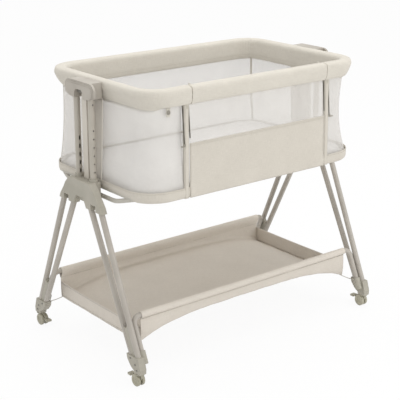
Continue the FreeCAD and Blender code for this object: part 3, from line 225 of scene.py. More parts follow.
class Recipe:
    """A Geometry Nodes tree with named inputs, baked onto a mesh."""

    kinds = {"float": "NodeSocketFloat", "vector": "NodeSocketVector", "material": "NodeSocketMaterial"}

    def __init__(self, name, **inputs):
        self.tree = bpy.data.node_groups.new(name, "GeometryNodeTree")
        self.tree.is_modifier = True
        face = self.tree.interface
        face.new_socket("Geometry", in_out="INPUT", socket_type="NodeSocketGeometry")
        face.new_socket("Geometry", in_out="OUTPUT", socket_type="NodeSocketGeometry")
        self.sockets = {key: face.new_socket(key, in_out="INPUT", socket_type=self.kinds[kind])
                        for key, kind in inputs.items()}
        self.start = self.tree.nodes.new("NodeGroupInput")
        self.end = self.tree.nodes.new("NodeGroupOutput")

    def given(self, name):
        return self.start.outputs[name]

    def node(self, kind, settings=None, sockets=None):
        made = self.tree.nodes.new(kind)
        for name, value in (settings or {}).items():
            setattr(made, name, value)
        for name, value in (sockets or {}).items():
            if isinstance(value, bpy.types.NodeSocket):
                self.tree.links.new(value, made.inputs[name])
            else:
                made.inputs[name].default_value = value
        return made.outputs

    def times(self, value, share):
        return self.node("ShaderNodeMath", {"operation": "MULTIPLY"}, {0: value, 1: share})[0]

    def finish_with(self, instances, material):
        """Realizes the instances and gives them their material."""
        real = self.node("GeometryNodeRealizeInstances", None, {0: instances})[0]
        done = self.node("GeometryNodeSetMaterial", None, {"Geometry": real, "Material": material})[0]
        self.tree.links.new(done, self.end.inputs[0])

    def bake(self, name, mesh, body, slot, **values):
        """A plain mesh piece of the tree's result, riding on its body."""
        carrier = placed("carrier", mesh)
        modifier = carrier.modifiers.new("recipe", "NODES")
        modifier.node_group = self.tree
        for key, value in values.items():
            modifier[self.sockets[key].identifier] = value
        bpy.context.view_layer.update()
        result = carrier.evaluated_get(bpy.context.evaluated_depsgraph_get())
        baked = bpy.data.meshes.new_from_object(result)
        bpy.data.objects.remove(carrier)
        piece = placed(name, baked)
        baked.name = name
        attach(piece, body)
        return piece


HEAD_RADIUS, HEAD_TALL = 0.0025, 0.001
heads = Recipe("screw_heads", Radius="float", Height="float", Finish="material")
head_radius, head_tall = heads.given("Radius"), heads.given("Height")
disc = heads.node("GeometryNodeMeshCylinder", None, {
    "Vertices": 20, "Radius": head_radius, "Depth": head_tall})[0]
hexagon = heads.node("GeometryNodeMeshCylinder", None, {
    "Vertices": 6, "Radius": heads.times(head_radius, 0.5), "Depth": head_tall})[0]
lift = heads.node("ShaderNodeCombineXYZ", None, {"Z": heads.times(head_tall, 0.45)})[0]
moved = heads.node("GeometryNodeTransform", None, {"Geometry": hexagon, "Translation": lift})[0]
recessed = heads.node("GeometryNodeMeshBoolean", {"operation": "DIFFERENCE"}, {
    "Mesh 1": disc, "Mesh 2": moved})[0]
side_of = heads.node("ShaderNodeSeparateXYZ", None, {0: heads.node("GeometryNodeInputPosition")[0]})[0]
sign = heads.node("ShaderNodeMath", {"operation": "SIGN"}, {0: side_of})[0]
outward = heads.node("ShaderNodeCombineXYZ", None, {"X": sign})[0]
turn = heads.node("FunctionNodeAlignRotationToVector", {"axis": "Z"}, {"Vector": outward})[0]
points = heads.node("GeometryNodeMeshToPoints", None, {"Mesh": heads.given("Geometry")})[0]
set_out = heads.node("GeometryNodeInstanceOnPoints", None, {
    "Points": points, "Instance": recessed, "Rotation": turn})[0]
heads.finish_with(set_out, heads.given("Finish"))
centres = []
loose = np.array([v.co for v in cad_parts["frame_screws"].data.vertices])
while len(loose):
    near = np.linalg.norm(loose - loose[0], axis=1) < 2.3 * HEAD_RADIUS
    low, high = loose[near].min(0), loose[near].max(0)
    centres.append((low + high) / 2)
    loose = loose[~near]
screw_mesh = bpy.data.meshes.new("screw_points")
screw_mesh.from_pydata([tuple(c) for c in centres], [], [])
screws = heads.bake("frame_screw_heads", screw_mesh, "base", "screw_steel",
                    Radius=HEAD_RADIUS, Height=HEAD_TALL, Finish=zinc.material)
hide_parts("frame_screws")

# ---- casters with their brakes -------------------------------------------------------------
# Twin-wheel furniture casters of about 36 mm, all in moulded nylon: a fork, two dished wheels on
# one axle, and a foot pedal pinned in the fork.

wheel_nylon = moulded("wheel_nylon", srgb(164, 160, 141), srgb(184, 180, 162), 0.42, 700.0, 0.0008)
fork_nylon = moulded("fork_nylon", srgb(166, 162, 145), srgb(180, 176, 160), 0.46, 700.0, 0.0008)
dress(wheel_nylon, "caster_wheels_")
dress(fork_nylon, "caster_fork_", "brake_pedal_")

# ---- storage tray --------------------------------------------------------------------------
# One piece of woven polyester: a sleeve along each rail, a flap down from it, the floor that
# hangs between the flaps, and a low wall across each end. Every edge is hemmed and top-stitched.


def woven(name, dark, light, pitch, relief=0.00016, rough=0.92, laid_flat=False):
    """Plain weave, with slubs along both threads and a cloudy tone."""
    cloth = Finish(name, Sheen_Weight=0.12, Sheen_Roughness=0.6, Specular_IOR_Level=0.2)
    uv = cloth.node("ShaderNodeTexCoord", out="Object") if laid_flat else \
        cloth.node("ShaderNodeUVMap", {"uv_map": "cloth"})
    warp, weft = cloth.axes(uv, 0.5 / pitch)
    weave = warp.wave() * weft.wave()
    slubs = []
    for stretch in ((60.0, 1400.0, 1.0), (1400.0, 60.0, 1.0)):
        laid = cloth.node("ShaderNodeMapping", None, {"Vector": uv, "Scale": stretch})
        slubs.append(cloth.noise(1.0, 3.0, laid))
    slub = (slubs[0] + slubs[1]) * 0.5
    cloud = cloth.noise(11.0, 3.0, uv)
    tone = (slub - 0.5) * 1.5 + weave * 0.10 + cloud * 0.35 + 0.33
    cloth.paint(Base_Color=cloth.tones(dark, light, tone.between(0.0, 1.0)),
                Roughness=rough - slub * 0.08,
                Normal=cloth.bump(weave * 0.5 + slub, relief))
    return cloth.material


@contextmanager
def opened(mesh):
    """A mesh's shape, open for edits and then written back."""
    shape = bmesh.new()
    shape.from_mesh(mesh)
    yield shape
    shape.to_mesh(mesh)
    shape.free()


def cloth_mesh(name, grid, material, loop=False, flip=False, pinch=False):
    """A piece from rows of points, with a UV map of its own flat lengths, in metres."""
    grid = np.asarray(grid, float)
    rows, columns = grid.shape[:2]
    closed = np.concatenate([grid, grid[:, :1]], axis=1) if loop else grid
    u = np.cumsum(np.linalg.norm(np.diff(closed, axis=1), axis=2).mean(0))
    v = np.cumsum(np.linalg.norm(np.diff(grid, axis=0), axis=2).mean(1))
    u, v = np.insert(u, 0, 0.0), np.insert(v, 0, 0.0)
    faces, places = [], []
    for i in range(rows - 1):
        for j in range(columns if loop else columns - 1):
            k = (j + 1) % columns
            corners = [(i, j, j), (i, k, j + 1), (i + 1, k, j + 1), (i + 1, j, j)]
            corners = corners[::-1] if flip else corners
            faces.append([a * columns + b for a, b, c in corners])
            places += [(u[c], v[a]) for a, b, c in corners]
    mesh = bpy.data.meshes.new(name)
    mesh.from_pydata(grid.reshape(-1, 3).tolist(), [], faces)
    layer = mesh.uv_layers.new(name="cloth")
    layer.data.foreach_set("uv", np.array(places, np.float32).ravel())
    if pinch:
        with opened(mesh) as shape:
            bmesh.ops.remove_doubles(shape, verts=shape.verts, dist=1e-6)
            bmesh.ops.dissolve_degenerate(shape, edges=shape.edges, dist=1e-7)
    mesh.shade_smooth()
    mesh.materials.append(material)
    return placed(name, mesh)


def applied(piece):
    """The same piece with its modifiers in its mesh."""
    bpy.context.view_layer.update()
    result = piece.evaluated_get(bpy.context.evaluated_depsgraph_get())
    piece.data = bpy.data.meshes.new_from_object(result)
    piece.modifiers.clear()
    return piece


def thicken(piece, thick, offset=0.0):
    wall = piece.modifiers.new("wall", "SOLIDIFY")
    wall.thickness, wall.offset = thick, offset
    return applied(piece)


def joined(name, *pieces):
    """One mesh of several, for one piece of cloth."""
    shape = bmesh.new()
    for piece in pieces:
        shape.from_mesh(piece.data)
    pieces[0].data.clear_geometry()
    shape.to_mesh(pieces[0].data)
    shape.free()
    for piece in pieces[1:]:
        bpy.data.objects.remove(piece)
    pieces[0].name = name
    return pieces[0]


def twisted(name, dark, light, **fixed):
    """Sewing thread."""
    thread = Finish(name, **fixed)
    return thread.paint(Base_Color=thread.tones(dark, light, thread.noise(1800.0, 2.0)))


pale_thread = twisted("thread", srgb(176, 170, 157), srgb(204, 199, 187), Roughness=0.8, Sheen_Weight=0.2)

sewn = Recipe("sewn_run", Pitch="float", Bead="vector", Finish="material")
run = sewn.node("GeometryNodeMeshToCurve", None, {"Mesh": sewn.given("Geometry")})[0]
spaced = sewn.node("GeometryNodeResampleCurve", {"mode": "LENGTH"}, {
    "Curve": run, "Length": sewn.given("Pitch")})[0]
along = sewn.node("GeometryNodeInputTangent")[0]
facing = sewn.node("FunctionNodeAlignRotationToVector", {"axis": "Z"}, {"Vector": along})[0]
bead = sewn.node("GeometryNodeMeshUVSphere", None, {"Segments": 6, "Rings": 4, "Radius": 1.0})[0]
set_on = sewn.node("GeometryNodeInstanceOnPoints", None, {
    "Points": spaced, "Instance": bead, "Rotation": facing, "Scale": sewn.given("Bead")})[0]
sewn.finish_with(set_on, sewn.given("Finish"))
STITCH_PITCH = 0.0042
STITCH_BEAD = (0.00042, 0.00042, 0.00155)


def stitches(name, runs, body, slot, pitch=STITCH_PITCH, size=STITCH_BEAD, finish=pale_thread):
    """Rows of stitches or zip teeth along lists of points, one mesh."""
    mesh = bpy.data.meshes.new(name + "_runs")
    spots, edges = [], []
    for line in runs:
        first = len(spots)
        spots += [tuple(p) for p in line]
        edges += [(k, k + 1) for k in range(first, len(spots) - 1)]
    mesh.from_pydata(spots, edges, [])
    return sewn.bake(name, mesh, body, slot, Pitch=pitch, Bead=size, Finish=finish)


tray_weave = woven("tray_weave", srgb(205, 197, 186), srgb(226, 219, 209), 0.0011)
TRAY_X, RAIL_Y, RAIL_Z = 0.379, 0.199, 0.173
TRAY_MID, TRAY_DROP, TRAY_END_TOP = 0.1325, 0.040, 0.1390
SLEEVE_R, REAR_SEAM, TRAY_TURN, TRAY_SAG = 0.0090, 0.1520, 0.010, 0.0025
SLEEVE_STEPS, FLAP_STEPS, FLOOR_STEPS, REAR_STEPS = 18, 8, 14, 7


def tray_floor(x):
    return TRAY_MID - TRAY_DROP * abs(x / TRAY_X) ** 4


def tray_section(x):
    """The cloth's line across the tray: sleeve, flap, floor, rear wall, sleeve."""
    low = tray_floor(x)
    line = []
    for k in range(SLEEVE_STEPS + 1):
        angle = math.radians(-90 + 360 * k / SLEEVE_STEPS)
        line.append((-RAIL_Y - SLEEVE_R * math.cos(angle), RAIL_Z + SLEEVE_R * math.sin(angle)))
    top = RAIL_Z - SLEEVE_R
    for k in range(1, FLAP_STEPS):
        share = k / FLAP_STEPS
        belly = 0.0022 * math.sin(math.pi * share) * (0.4 + 0.6 * abs(x / TRAY_X))
        line.append((-RAIL_Y - belly, top + (low + TRAY_TURN - top) * share))
    for angle in (0, 22.5, 45, 67.5, 90):
        turned = math.radians(angle)
        line.append((-RAIL_Y + TRAY_TURN * (1 - math.cos(turned)),
                     low + TRAY_TURN * (1 - math.sin(turned))))
    for k in range(1, FLOOR_STEPS):
        share = k / FLOOR_STEPS
        y = -RAIL_Y + TRAY_TURN + share * (RAIL_Y - TRAY_TURN)
        sag = TRAY_SAG * math.sin(math.pi * share / 2) ** 2 * (1 - abs(x / TRAY_X) ** 3)
        line.append((y, low - sag))
    inner = [(-y, z) for y, z in reversed(line[SLEEVE_STEPS + FLAP_STEPS:])]
    inner += [(RAIL_Y, low + TRAY_TURN + (REAR_SEAM - low - TRAY_TURN) * k / REAR_STEPS)
              for k in range(1, REAR_STEPS)]
    pocket = [(RAIL_Y - 0.0006, REAR_SEAM), (RAIL_Y - 0.0060, REAR_SEAM + 0.0080),
              (RAIL_Y - 0.0085, RAIL_Z - 0.0040)]
    for k in range(13):
        angle = math.radians(180 - 15 * k)
        pocket.append((RAIL_Y + SLEEVE_R * math.cos(angle), RAIL_Z + SLEEVE_R * math.sin(angle)))
    pocket += [(RAIL_Y + 0.0085, RAIL_Z - 0.0040), (RAIL_Y + 0.0064, REAR_SEAM + 0.0080),
               (RAIL_Y + 0.0012, REAR_SEAM)]
    return line + [(0.0, low - TRAY_SAG * (1 - abs(x / TRAY_X) ** 3))] + inner + pocket


tray_xs = [TRAY_X * math.sin(math.pi / 2 * k / 44) for k in range(-44, 45)]
tray_rows = []
for x in tray_xs:
    row = []
    for y, z in tray_section(x):
        soft = 1.0 if z < RAIL_Z - 1.2 * SLEEVE_R else 0.0
        fold = 0.0009 * noise.noise(Vector((x * 16, y * 16, z * 30)))
        fold += 0.0006 * noise.noise(Vector((x * 55, y * 20, 4.0)))
        on_floor = abs(y) < RAIL_Y - 0.006
        row.append((x, y, z + soft * fold * 1.6) if on_floor else (x, y + soft * fold, z))
    tray_rows.append(row)
TRAY_THICK, END_STEPS = 0.0012, 8
tray_parts = [thicken(cloth_mesh("tray_skin", tray_rows, tray_weave), TRAY_THICK)]
hem_lines = []
for side in (-1, 1):
    rows = []
    for k in range(END_STEPS + 1):
        share = k / END_STEPS
        z = tray_floor(TRAY_X) + (TRAY_END_TOP - tray_floor(TRAY_X)) * share
        bow = 0.002 * math.sin(math.pi * share)
        rows.append([(side * (TRAY_X - 0.0008 + bow * math.cos(y / RAIL_Y * 1.4)), y,
                      z - 0.0015 * share * math.cos(y / RAIL_Y * math.pi / 2))
                     for y in np.linspace(-RAIL_Y + 0.0007, RAIL_Y - 0.0007, 41)])
    tray_parts.append(thicken(cloth_mesh("tray_end", rows, tray_weave, flip=side < 0), TRAY_THICK))
    for level, rise in ((END_STEPS - 1, 0.0012), (1, 0.0)):
        hem_lines.append([(x + side * 0.0009, y, z + rise) for x, y, z in rows[level]])
tray = joined("storage_tray_cloth", *tray_parts)
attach(tray, "base")
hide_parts("tray_floor", "tray_sides", "tray_ends")
hem_lines.append([(x, -RAIL_Y - 0.0014, RAIL_Z - SLEEVE_R - 0.0030) for x in tray_xs])
hem_lines += [[(x, RAIL_Y + out, REAR_SEAM + 0.0004) for x in tray_xs] for out in (-0.0014, 0.0020)]
tray_thread = twisted("tray_thread", srgb(150, 145, 134), srgb(178, 172, 161), Roughness=0.85)
HEM_PITCH, HEM_BEAD = 0.0036, (0.0005, 0.0005, 0.0016)
stitches("tray_stitches", hem_lines, "base", "tray_cloth", HEM_PITCH, HEM_BEAD, tray_thread)

# ---- corner elastics -----------------------------------------------------------------------
# Braided rubber cord, sewn under each corner of the tray's floor and hooked into the foot
# bracket, which keeps the floor stretched.

braid = Finish("elastic_braid", Roughness=0.75, Sheen_Weight=0.2)
plait = braid.noise(1500.0, 2.0)
braid.paint(Base_Color=braid.tones(srgb(186, 182, 172), srgb(218, 214, 205), plait),
            Normal=braid.bump(plait, 0.0002))


def tube_mesh(name, line, radius, material, sides=10):
    """A round cord or tube along a line, closed at both ends."""
    line = np.asarray(line, float)
    domes = {0: ((0.0, -0.8), (0.7, -0.5), (1.0, 0.0)),
             len(line) - 1: ((1.0, 0.0), (0.7, 0.5), (0.0, 0.8))}
    rows = []
    for i, (p, t) in enumerate(zip(line, np.gradient(line, axis=0))):
        t = t / np.linalg.norm(t)
        a = np.cross(t, (0.1, 0.2, 1.0))
        a = a / np.linalg.norm(a)
        b = np.cross(t, a)
        for share, push in domes.get(i, ((1.0, 0.0),)):
            middle = p + t * (push * radius)
            rows.append([middle + radius * share * (a * math.cos(c) + b * math.sin(c))
                         for c in np.linspace(0, math.tau, sides, endpoint=False)])
    return cloth_mesh(name, rows, material, loop=True, pinch=True)


cords = []
low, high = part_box("corner_elastics")
for sx in (-1, 1):
    for sy in (-1, 1):
        start = np.array((sx * (TRAY_X - 0.004), sy * (RAIL_Y - 0.006), tray_floor(TRAY_X) + 0.0016))
        stop = np.array((sx * (high[0] + 0.004), sy * (high[1] - 0.0012), low[2] + 0.0014))
        line = [start + (stop - start) * k / 14 - np.array((0, 0, 0.0018 * math.sin(math.pi * k / 14)))
                for k in range(15)]
        cords.append(tube_mesh("elastic", line, 0.0012, braid.material))
elastics = joined("corner_elastic_cords", *cords)
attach(elastics, "base")
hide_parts("corner_elastics")

# ---- basket frame --------------------------------------------------------------------------
# The rim tube, bottom ring, end carriers and front struts are thin steel tubes, coated to match
# the cloth. Moulded connectors in the same tone join struts and rim. The release triggers are
# moulded in a dark plastic, the drop side's buttons in a pale one.

tube_coat = coated("tube_coat", srgb(186, 182, 172), srgb(200, 196, 187), 0.4)
dress(tube_coat, "rim_tube", "gate_tube", "bottom_ring", "end_carriers", "front_struts")
trim = moulded("trim_plastic", srgb(104, 101, 94), srgb(126, 123, 115), 0.5, 800.0, 0.0006)
connector = moulded("connector_plastic", srgb(176, 171, 158), srgb(190, 185, 172), 0.5, 800.0, 0.0006)
dress(trim, "release_trigger_")
dress(connector, "rim_connectors")
button_plastic = moulded("button_plastic", srgb(196, 192, 181), srgb(210, 206, 195), 0.45, 800.0, 0.0006)
dress(button_plastic, "gate_button_")

# ---- bottom band and base cloth ------------------------------------------------------------
# Canvas cut as a shallow dish: a band round the bottom ring, turned under into the base. The
# band's lower edge is drawn up at both ends, where the carriers pass.


def ring_at(half_x, half_y, bend, spot):
    """Point and outward direction on a level round-cornered rectangle, from spot (side, share).
    Side 0 starts at the front's middle and runs towards +X, side 8 comes back to it."""
    side, share = spot
    flat_x, flat_y = half_x - bend, half_y - bend
    if side % 2 == 0:
        if side in (0, 8):
            x = flat_x * share if side == 0 else -flat_x * (1 - share)
            return (x, -half_y), (0.0, -1.0)
        if side == 4:
            return (flat_x * (1 - 2 * share), half_y), (0.0, 1.0)
        sign = 1 if side == 2 else -1
        return (sign * half_x, sign * flat_y * (2 * share - 1)), (float(sign), 0.0)
    turned = math.radians(-90 + 90 * ((side - 1) // 2) + 90 * share)
    centre = {1: (flat_x, -flat_y), 3: (flat_x, flat_y),
              5: (-flat_x, flat_y), 7: (-flat_x, -flat_y)}[side]
    out = (math.cos(turned), math.sin(turned))
    return (centre[0] + bend * out[0], centre[1] + bend * out[1]), out


RING_COUNTS = (26, 20, 26, 20, 52, 20, 26, 20, 26)
ring_spots = [(side, k / count) for side, count in enumerate(RING_COUNTS) for k in range(count)]

canvas = woven("canvas", srgb(196, 190, 179), srgb(219, 213, 202), 0.0009)
BAND_X, BAND_Y, BAND_BEND, BAND_LOW, BAND_TOP = 0.383, 0.236, 0.085, 0.477, 0.507


def band_lift(x, y):
    """How far the band's lower edge is drawn up at the ends."""
    near = min(1.0, max(0.0, (0.186 - abs(y)) / 0.030))
    return 0.008 * near * near * (3 - 2 * near) if abs(x) > 0.34 else 0.0


band_rows = []
for inset, rise in ((0.0, 1.0), (-0.0004, 0.75), (-0.0006, 0.5), (-0.0003, 0.3),
                    (0.0012, 0.14), (0.0045, 0.03)):
    row = []
    for spot in ring_spots:
        (x, y), out = ring_at(BAND_X - inset, BAND_Y - inset, BAND_BEND - inset, spot)
        low = BAND_LOW + band_lift(x, y)
        soft = 0.0005 * noise.noise(Vector((x * 30, y * 30, rise * 2)))
        row.append((x + out[0] * soft, y + out[1] * soft, low + (BAND_TOP - low) * rise))
    band_rows.append(row)
for inset in (0.009, 0.02, 0.05, 0.10, 0.16, 0.21, 0.2345):
    row = []
    for spot in ring_spots:
        (x, y), out = ring_at(BAND_X - inset, BAND_Y - inset, max(BAND_BEND - inset, 0.001), spot)
        edge = ring_at(BAND_X, BAND_Y, BAND_BEND, spot)[0]
        share = max(0.0, 1 - inset / 0.03)
        soft = 0.0008 * noise.noise(Vector((x * 9, y * 9, 1))) * min(1.0, inset / 0.05)
        row.append((x, y, BAND_LOW + 0.0002 + band_lift(*edge) * share + soft))
    band_rows.append(row)
band = cloth_mesh("band", band_rows, canvas, loop=True, flip=True)
with opened(band.data) as shape:
    inmost = [e for e in shape.edges if e.is_boundary and all(v.co.z < BAND_TOP - 0.017 for v in e.verts)]
    bmesh.ops.holes_fill(shape, edges=inmost)
band = thicken(band, 0.0014, -1.0)
band.name = "bottom_band_cloth"
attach(band, "basket")
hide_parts("bottom_band")

PROUD, HEM = 0.0007, 0.0035
band_run = [(*ring_at(BAND_X + PROUD, BAND_Y + PROUD, BAND_BEND + PROUD, spot)[0], BAND_TOP - HEM)
            for spot in ring_spots + ring_spots[:1]]
stitches("band_stitches", [band_run], "basket", "panel_cloth")

# ---- mesh walls ----------------------------------------------------------------------------
# Warp-knit net, light and half see-through, sewn to the band below and under the rim's padding
# above. It flares outwards towards the band, and is parted at the front, between the struts.


def net(name, dark, light, cover, pitch=0.0016):
    """Knitted net: round holes in staggered rows, thread between them."""
    knit = Finish(name, Roughness=0.7, Sheen_Weight=0.2, Specular_IOR_Level=0.2)
    uv = knit.node("ShaderNodeUVMap", {"uv_map": "cloth"})
    a, b = knit.axes(uv, 1 / pitch)
    holes = (a + b * 0.5).wave() * (a - b * 0.5).wave()
    thread = holes.between(-0.15, 0.25)
    cloud = knit.noise(20.0, 3.0, uv)
    knit.paint(Base_Color=knit.tones(dark, light, cloud),
               Alpha=thread * (1.0 - cover) * 0.9 + (cover - 0.10 * (1.0 - cover)) + cloud * 0.02,
               Normal=knit.bump(thread, 0.00015))
    return knit.material


net_finish = net("net", srgb(226, 222, 217), srgb(240, 237, 232), 0.44)
WALL_X, WALL_Y, WALL_BEND, WALL_LOW, WALL_TOP = 0.358, 0.221, 0.062, 0.494, 0.7237
FLARE_X, FLARE_Y, FLARE_BEND, FLARE_POWER = 0.022, 0.013, 0.021, 2.6
OPENING = 0.2565


def flare(z):
    return min(1.0, max(0.0, (WALL_TOP - z) / (WALL_TOP - WALL_LOW))) ** FLARE_POWER


def wall_point(spot, z, proud=0.0):
    """A point on the mesh wall, or proud of it."""
    side, share = spot
    out = flare(z)
    half_x, half_y, bend = WALL_X + FLARE_X * out, WALL_Y + FLARE_Y * out, WALL_BEND + FLARE_BEND * out
    x, y = ring_at(half_x + proud, half_y + proud, bend + proud, spot)[0]
    beside = half_x - bend - OPENING
    if side == 0:
        x = OPENING + beside * share
    elif side == 8:
        x = -OPENING - beside * (1 - share)
    return x, y, z


# The flat cloth beside the opening needs few points: every eighth of the ring's.
FRONT_STEP, WALL_LEVELS, WALL_TUCK, WALL_WAIST = 8, 22, 0.003, 0.0085
wall_spots = [(side, share) for side, share in ring_spots
              if side not in (0, 8) or round(share * RING_COUNTS[0]) % FRONT_STEP == 0] + [(8, 1.0)]
wall_rows = []
for k in range(WALL_LEVELS + 1):
    z = WALL_TOP + WALL_TUCK - (WALL_TOP + WALL_TUCK - WALL_LOW) * k / WALL_LEVELS
    bow = math.sin(math.pi * (z - WALL_LOW) / (WALL_TOP - WALL_LOW))
    row = []
    for spot in wall_spots:
        x, y, _ = wall_point(spot, z)
        slack = 0.0012 * noise.noise(Vector((x * 7, y * 7, z * 5))) * bow
        out = ring_at(WALL_X, WALL_Y, WALL_BEND, spot)[1]
        if spot[0] == 1:
            slack -= WALL_WAIST * math.sin(math.pi * spot[1]) ** 2 * bow
        row.append((x + out[0] * slack, y + out[1] * slack, z))
    wall_rows.append(row)
wall = cloth_mesh("mesh_wall_net", wall_rows, net_finish, flip=True)
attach(wall, "basket")
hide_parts("mesh_wall")

# A folded tape covers the seam at each rear corner, from the rim down to the band.
tape_weave = woven("tape_weave", srgb(196, 191, 180), srgb(216, 212, 201), 0.0008)
CORNER_SEAMS = ((3, 0.44), (5, 0.56))
tapes = []
for side, share in CORNER_SEAMS:
    rows = []
    for z in np.linspace(WALL_TOP, WALL_LOW + 0.004, 24):
        middle = np.array(wall_point((side, share), z, 0.0004))
        aside = np.array(wall_point((side, share + 0.01), z, 0.0004)) - middle
        aside = aside / np.linalg.norm(aside)
        rows.append([middle + aside * w for w in (-0.0028, -0.0010, 0.0010, 0.0028)])
    tapes.append(thicken(cloth_mesh("tape", rows, tape_weave), 0.0014, 0.0))
tape = joined("corner_seam_tapes", *tapes)
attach(tape, "basket")

# ---- end strips ----------------------------------------------------------------------------
# Canvas strips that run from rim to band over the middle of each end wall, behind the posts,
# with bound and stitched long edges.

STRIP_FRONT, STRIP_REAR = -0.038, 0.046
STRIP_TOP_X, STRIP_LOW_X, STRIP_LOW = 0.372, 0.383, 0.5053


def strip_line(share):
    """Distance from the middle and height, down the strip from the rim."""
    x = STRIP_TOP_X + (STRIP_LOW_X - STRIP_TOP_X) * share - 0.0006
    return x, WALL_TOP - (WALL_TOP - STRIP_LOW) * share


# The strips' canvas is the band's canvas made lighter: painted light that lifts the shade behind the
# posts.
strip_canvas_painted_light = woven("strip_canvas_painted_light", srgb(210, 204, 195), srgb(232, 227, 218), 0.0009)
strip_runs = []
for word, side in (("left", -1), ("right", 1)):
    rows = []
    for k in range(21):
        x, z = strip_line(k / 20)
        rows.append([(side * (x + 0.0006 * noise.noise(Vector((y * 40, z * 20, side)))), y, z)
                     for y in np.linspace(STRIP_FRONT, STRIP_REAR, 25)])
    strip = thicken(cloth_mesh("end_strip_%s_cloth" % word, rows, strip_canvas_painted_light, flip=side > 0), 0.0011)
    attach(strip, "basket")
    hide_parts("end_strips")
    for which, edge, edge_y in (("front", -1, STRIP_FRONT), ("rear", 1, STRIP_REAR)):
        binding = [(side * x, edge_y, z) for x, z in map(strip_line, np.linspace(0, 1, 12))]
        bound = tube_mesh("binding_%s_%s" % (word, which), binding, 0.0017, strip_canvas_painted_light, 8)
        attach(bound, "basket")
        strip_runs.append([(p[0] + side * 0.0008, p[1] - edge * 0.0045, p[2]) for p in binding])
stitches("strip_stitches", strip_runs, "basket", "panel_cloth")

# ---- lower front panel ---------------------------------------------------------------------
# Canvas stretched across the front between the struts, over the band. Its upper edge is the
# line that the drop side folds about, and its sides end at the sleeves of the struts.

PANEL_HALF, PANEL_TOP, PANEL_TOP_Y, PANEL_LOW = 0.2402, 0.62385, -0.2351, 0.4785
panel_rows = []
for k in range(31):
    share = k / 30
    z = PANEL_TOP + (PANEL_LOW - PANEL_TOP) * share
    over_band = max(0.0, min(1.0, (share - 0.74) * 8))
    y = PANEL_TOP_Y - 0.0009 * min(1.0, share * 1.24) - 0.0016 * over_band
    row = []
    for x in np.linspace(-PANEL_HALF, PANEL_HALF, 81):
        give = 0.0007 * noise.noise(Vector((x * 9, 2.0, z * 14)))
        give = give * math.sin(math.pi * min(1.0, share * 1.1)) * (1 - abs(x / PANEL_HALF) ** 6)
        row.append((x, y - give, z))
    panel_rows.append(row)
panel = thicken(cloth_mesh("lower_front_panel_cloth", panel_rows, canvas, flip=True), 0.0011, -0.2)
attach(panel, "basket")
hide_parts("lower_front_panel")
panel_runs = [[(x, PANEL_TOP_Y - 0.0010, PANEL_TOP - drop) for x in np.linspace(-0.239, 0.239, 60)]
              for drop in (0.0035, 0.0075)]
panel_runs += [[(side * 0.2368, PANEL_TOP_Y - 0.0009 * s * 1.24 - 0.0008,
                 PANEL_TOP + (0.482 - PANEL_TOP) * s) for s in np.linspace(0.03, 0.72, 30)]
               for side in (-1, 1)]
stitches("panel_stitches", panel_runs, "basket", "panel_cloth")

# ---- drop side's net -----------------------------------------------------------------------
# The same net as the walls, from the lower panel up to the drop rail, so it folds with the rail.

FOLD_Z, FOLD_Y, NET_TOP, NET_TOP_Y, NET_HALF = 0.62415, 0.2349, 0.7250, 0.2262, 0.237
gate_rows = []
for k in range(13):
    share = k / 12
    z = FOLD_Z + (NET_TOP - FOLD_Z) * share
    y = -FOLD_Y + (FOLD_Y - NET_TOP_Y) * share
    bow = math.sin(math.pi * share)
    gate_rows.append([(x, y - 0.0008 * noise.noise(Vector((x * 8, 5.0, z * 9))) * bow, z)
                      for x in np.linspace(-NET_HALF, NET_HALF, 61)])
gate_net = cloth_mesh("drop_side_net", gate_rows, net_finish)
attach(gate_net, "drop_side")
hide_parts("gate_mesh")

# ---- zips beside the front struts ----------------------------------------------------------
# Coil zips let the drop side open: one on the mesh wall's side of each strut, sewn to the
# basket, and one on the drop side's own edge. Each has a narrow tape under its teeth, made dark
# as painted shade for the shadow line along the zip. The basket's two end in a slider with its pull.

# The tape's dark tone is partly painted shade: it draws the shadow line along each zip.
zip_tape_painted_shade = woven("zip_tape_painted_shade", srgb(96, 92, 84), srgb(124, 119, 110), 0.0006)
ZIP_PITCH, ZIP_TOOTH = 0.0016, (0.0005, 0.0004, 0.0005)
coil = Finish("zip_coil", Roughness=0.45)
coil.paint(Base_Color=coil.tones(srgb(70, 67, 62), srgb(96, 92, 86), coil.noise(500.0)))


def front_y(z):
    """The front cloth's outer face, above or below the fold line."""
    if z < PANEL_TOP:
        return PANEL_TOP_Y - 0.0009 * (PANEL_TOP - z) / 0.118
    return PANEL_TOP_Y + 0.0085 * (z - FOLD_Z) / 0.0996


def zip_of(word, x, body, low, high):
    rows = [[(x + w, front_y(z) - 0.0006, z) for w in (-0.0018, -0.0006, 0.0006, 0.0018)]
            for z in np.linspace(low, high, 26)]
    strip = thicken(cloth_mesh("zip_tape_painted_shade_" + word, rows, zip_tape_painted_shade), 0.0008)
    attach(strip, body)
    lines = [[(x + w, front_y(z) - 0.0012, z) for z in np.linspace(low + 0.002, high - 0.001, 20)]
             for w in (-0.0004, 0.0004)]
    stitches("zip_teeth_" + word, lines, body, "trim_plastic", ZIP_PITCH, ZIP_TOOTH, coil.material)


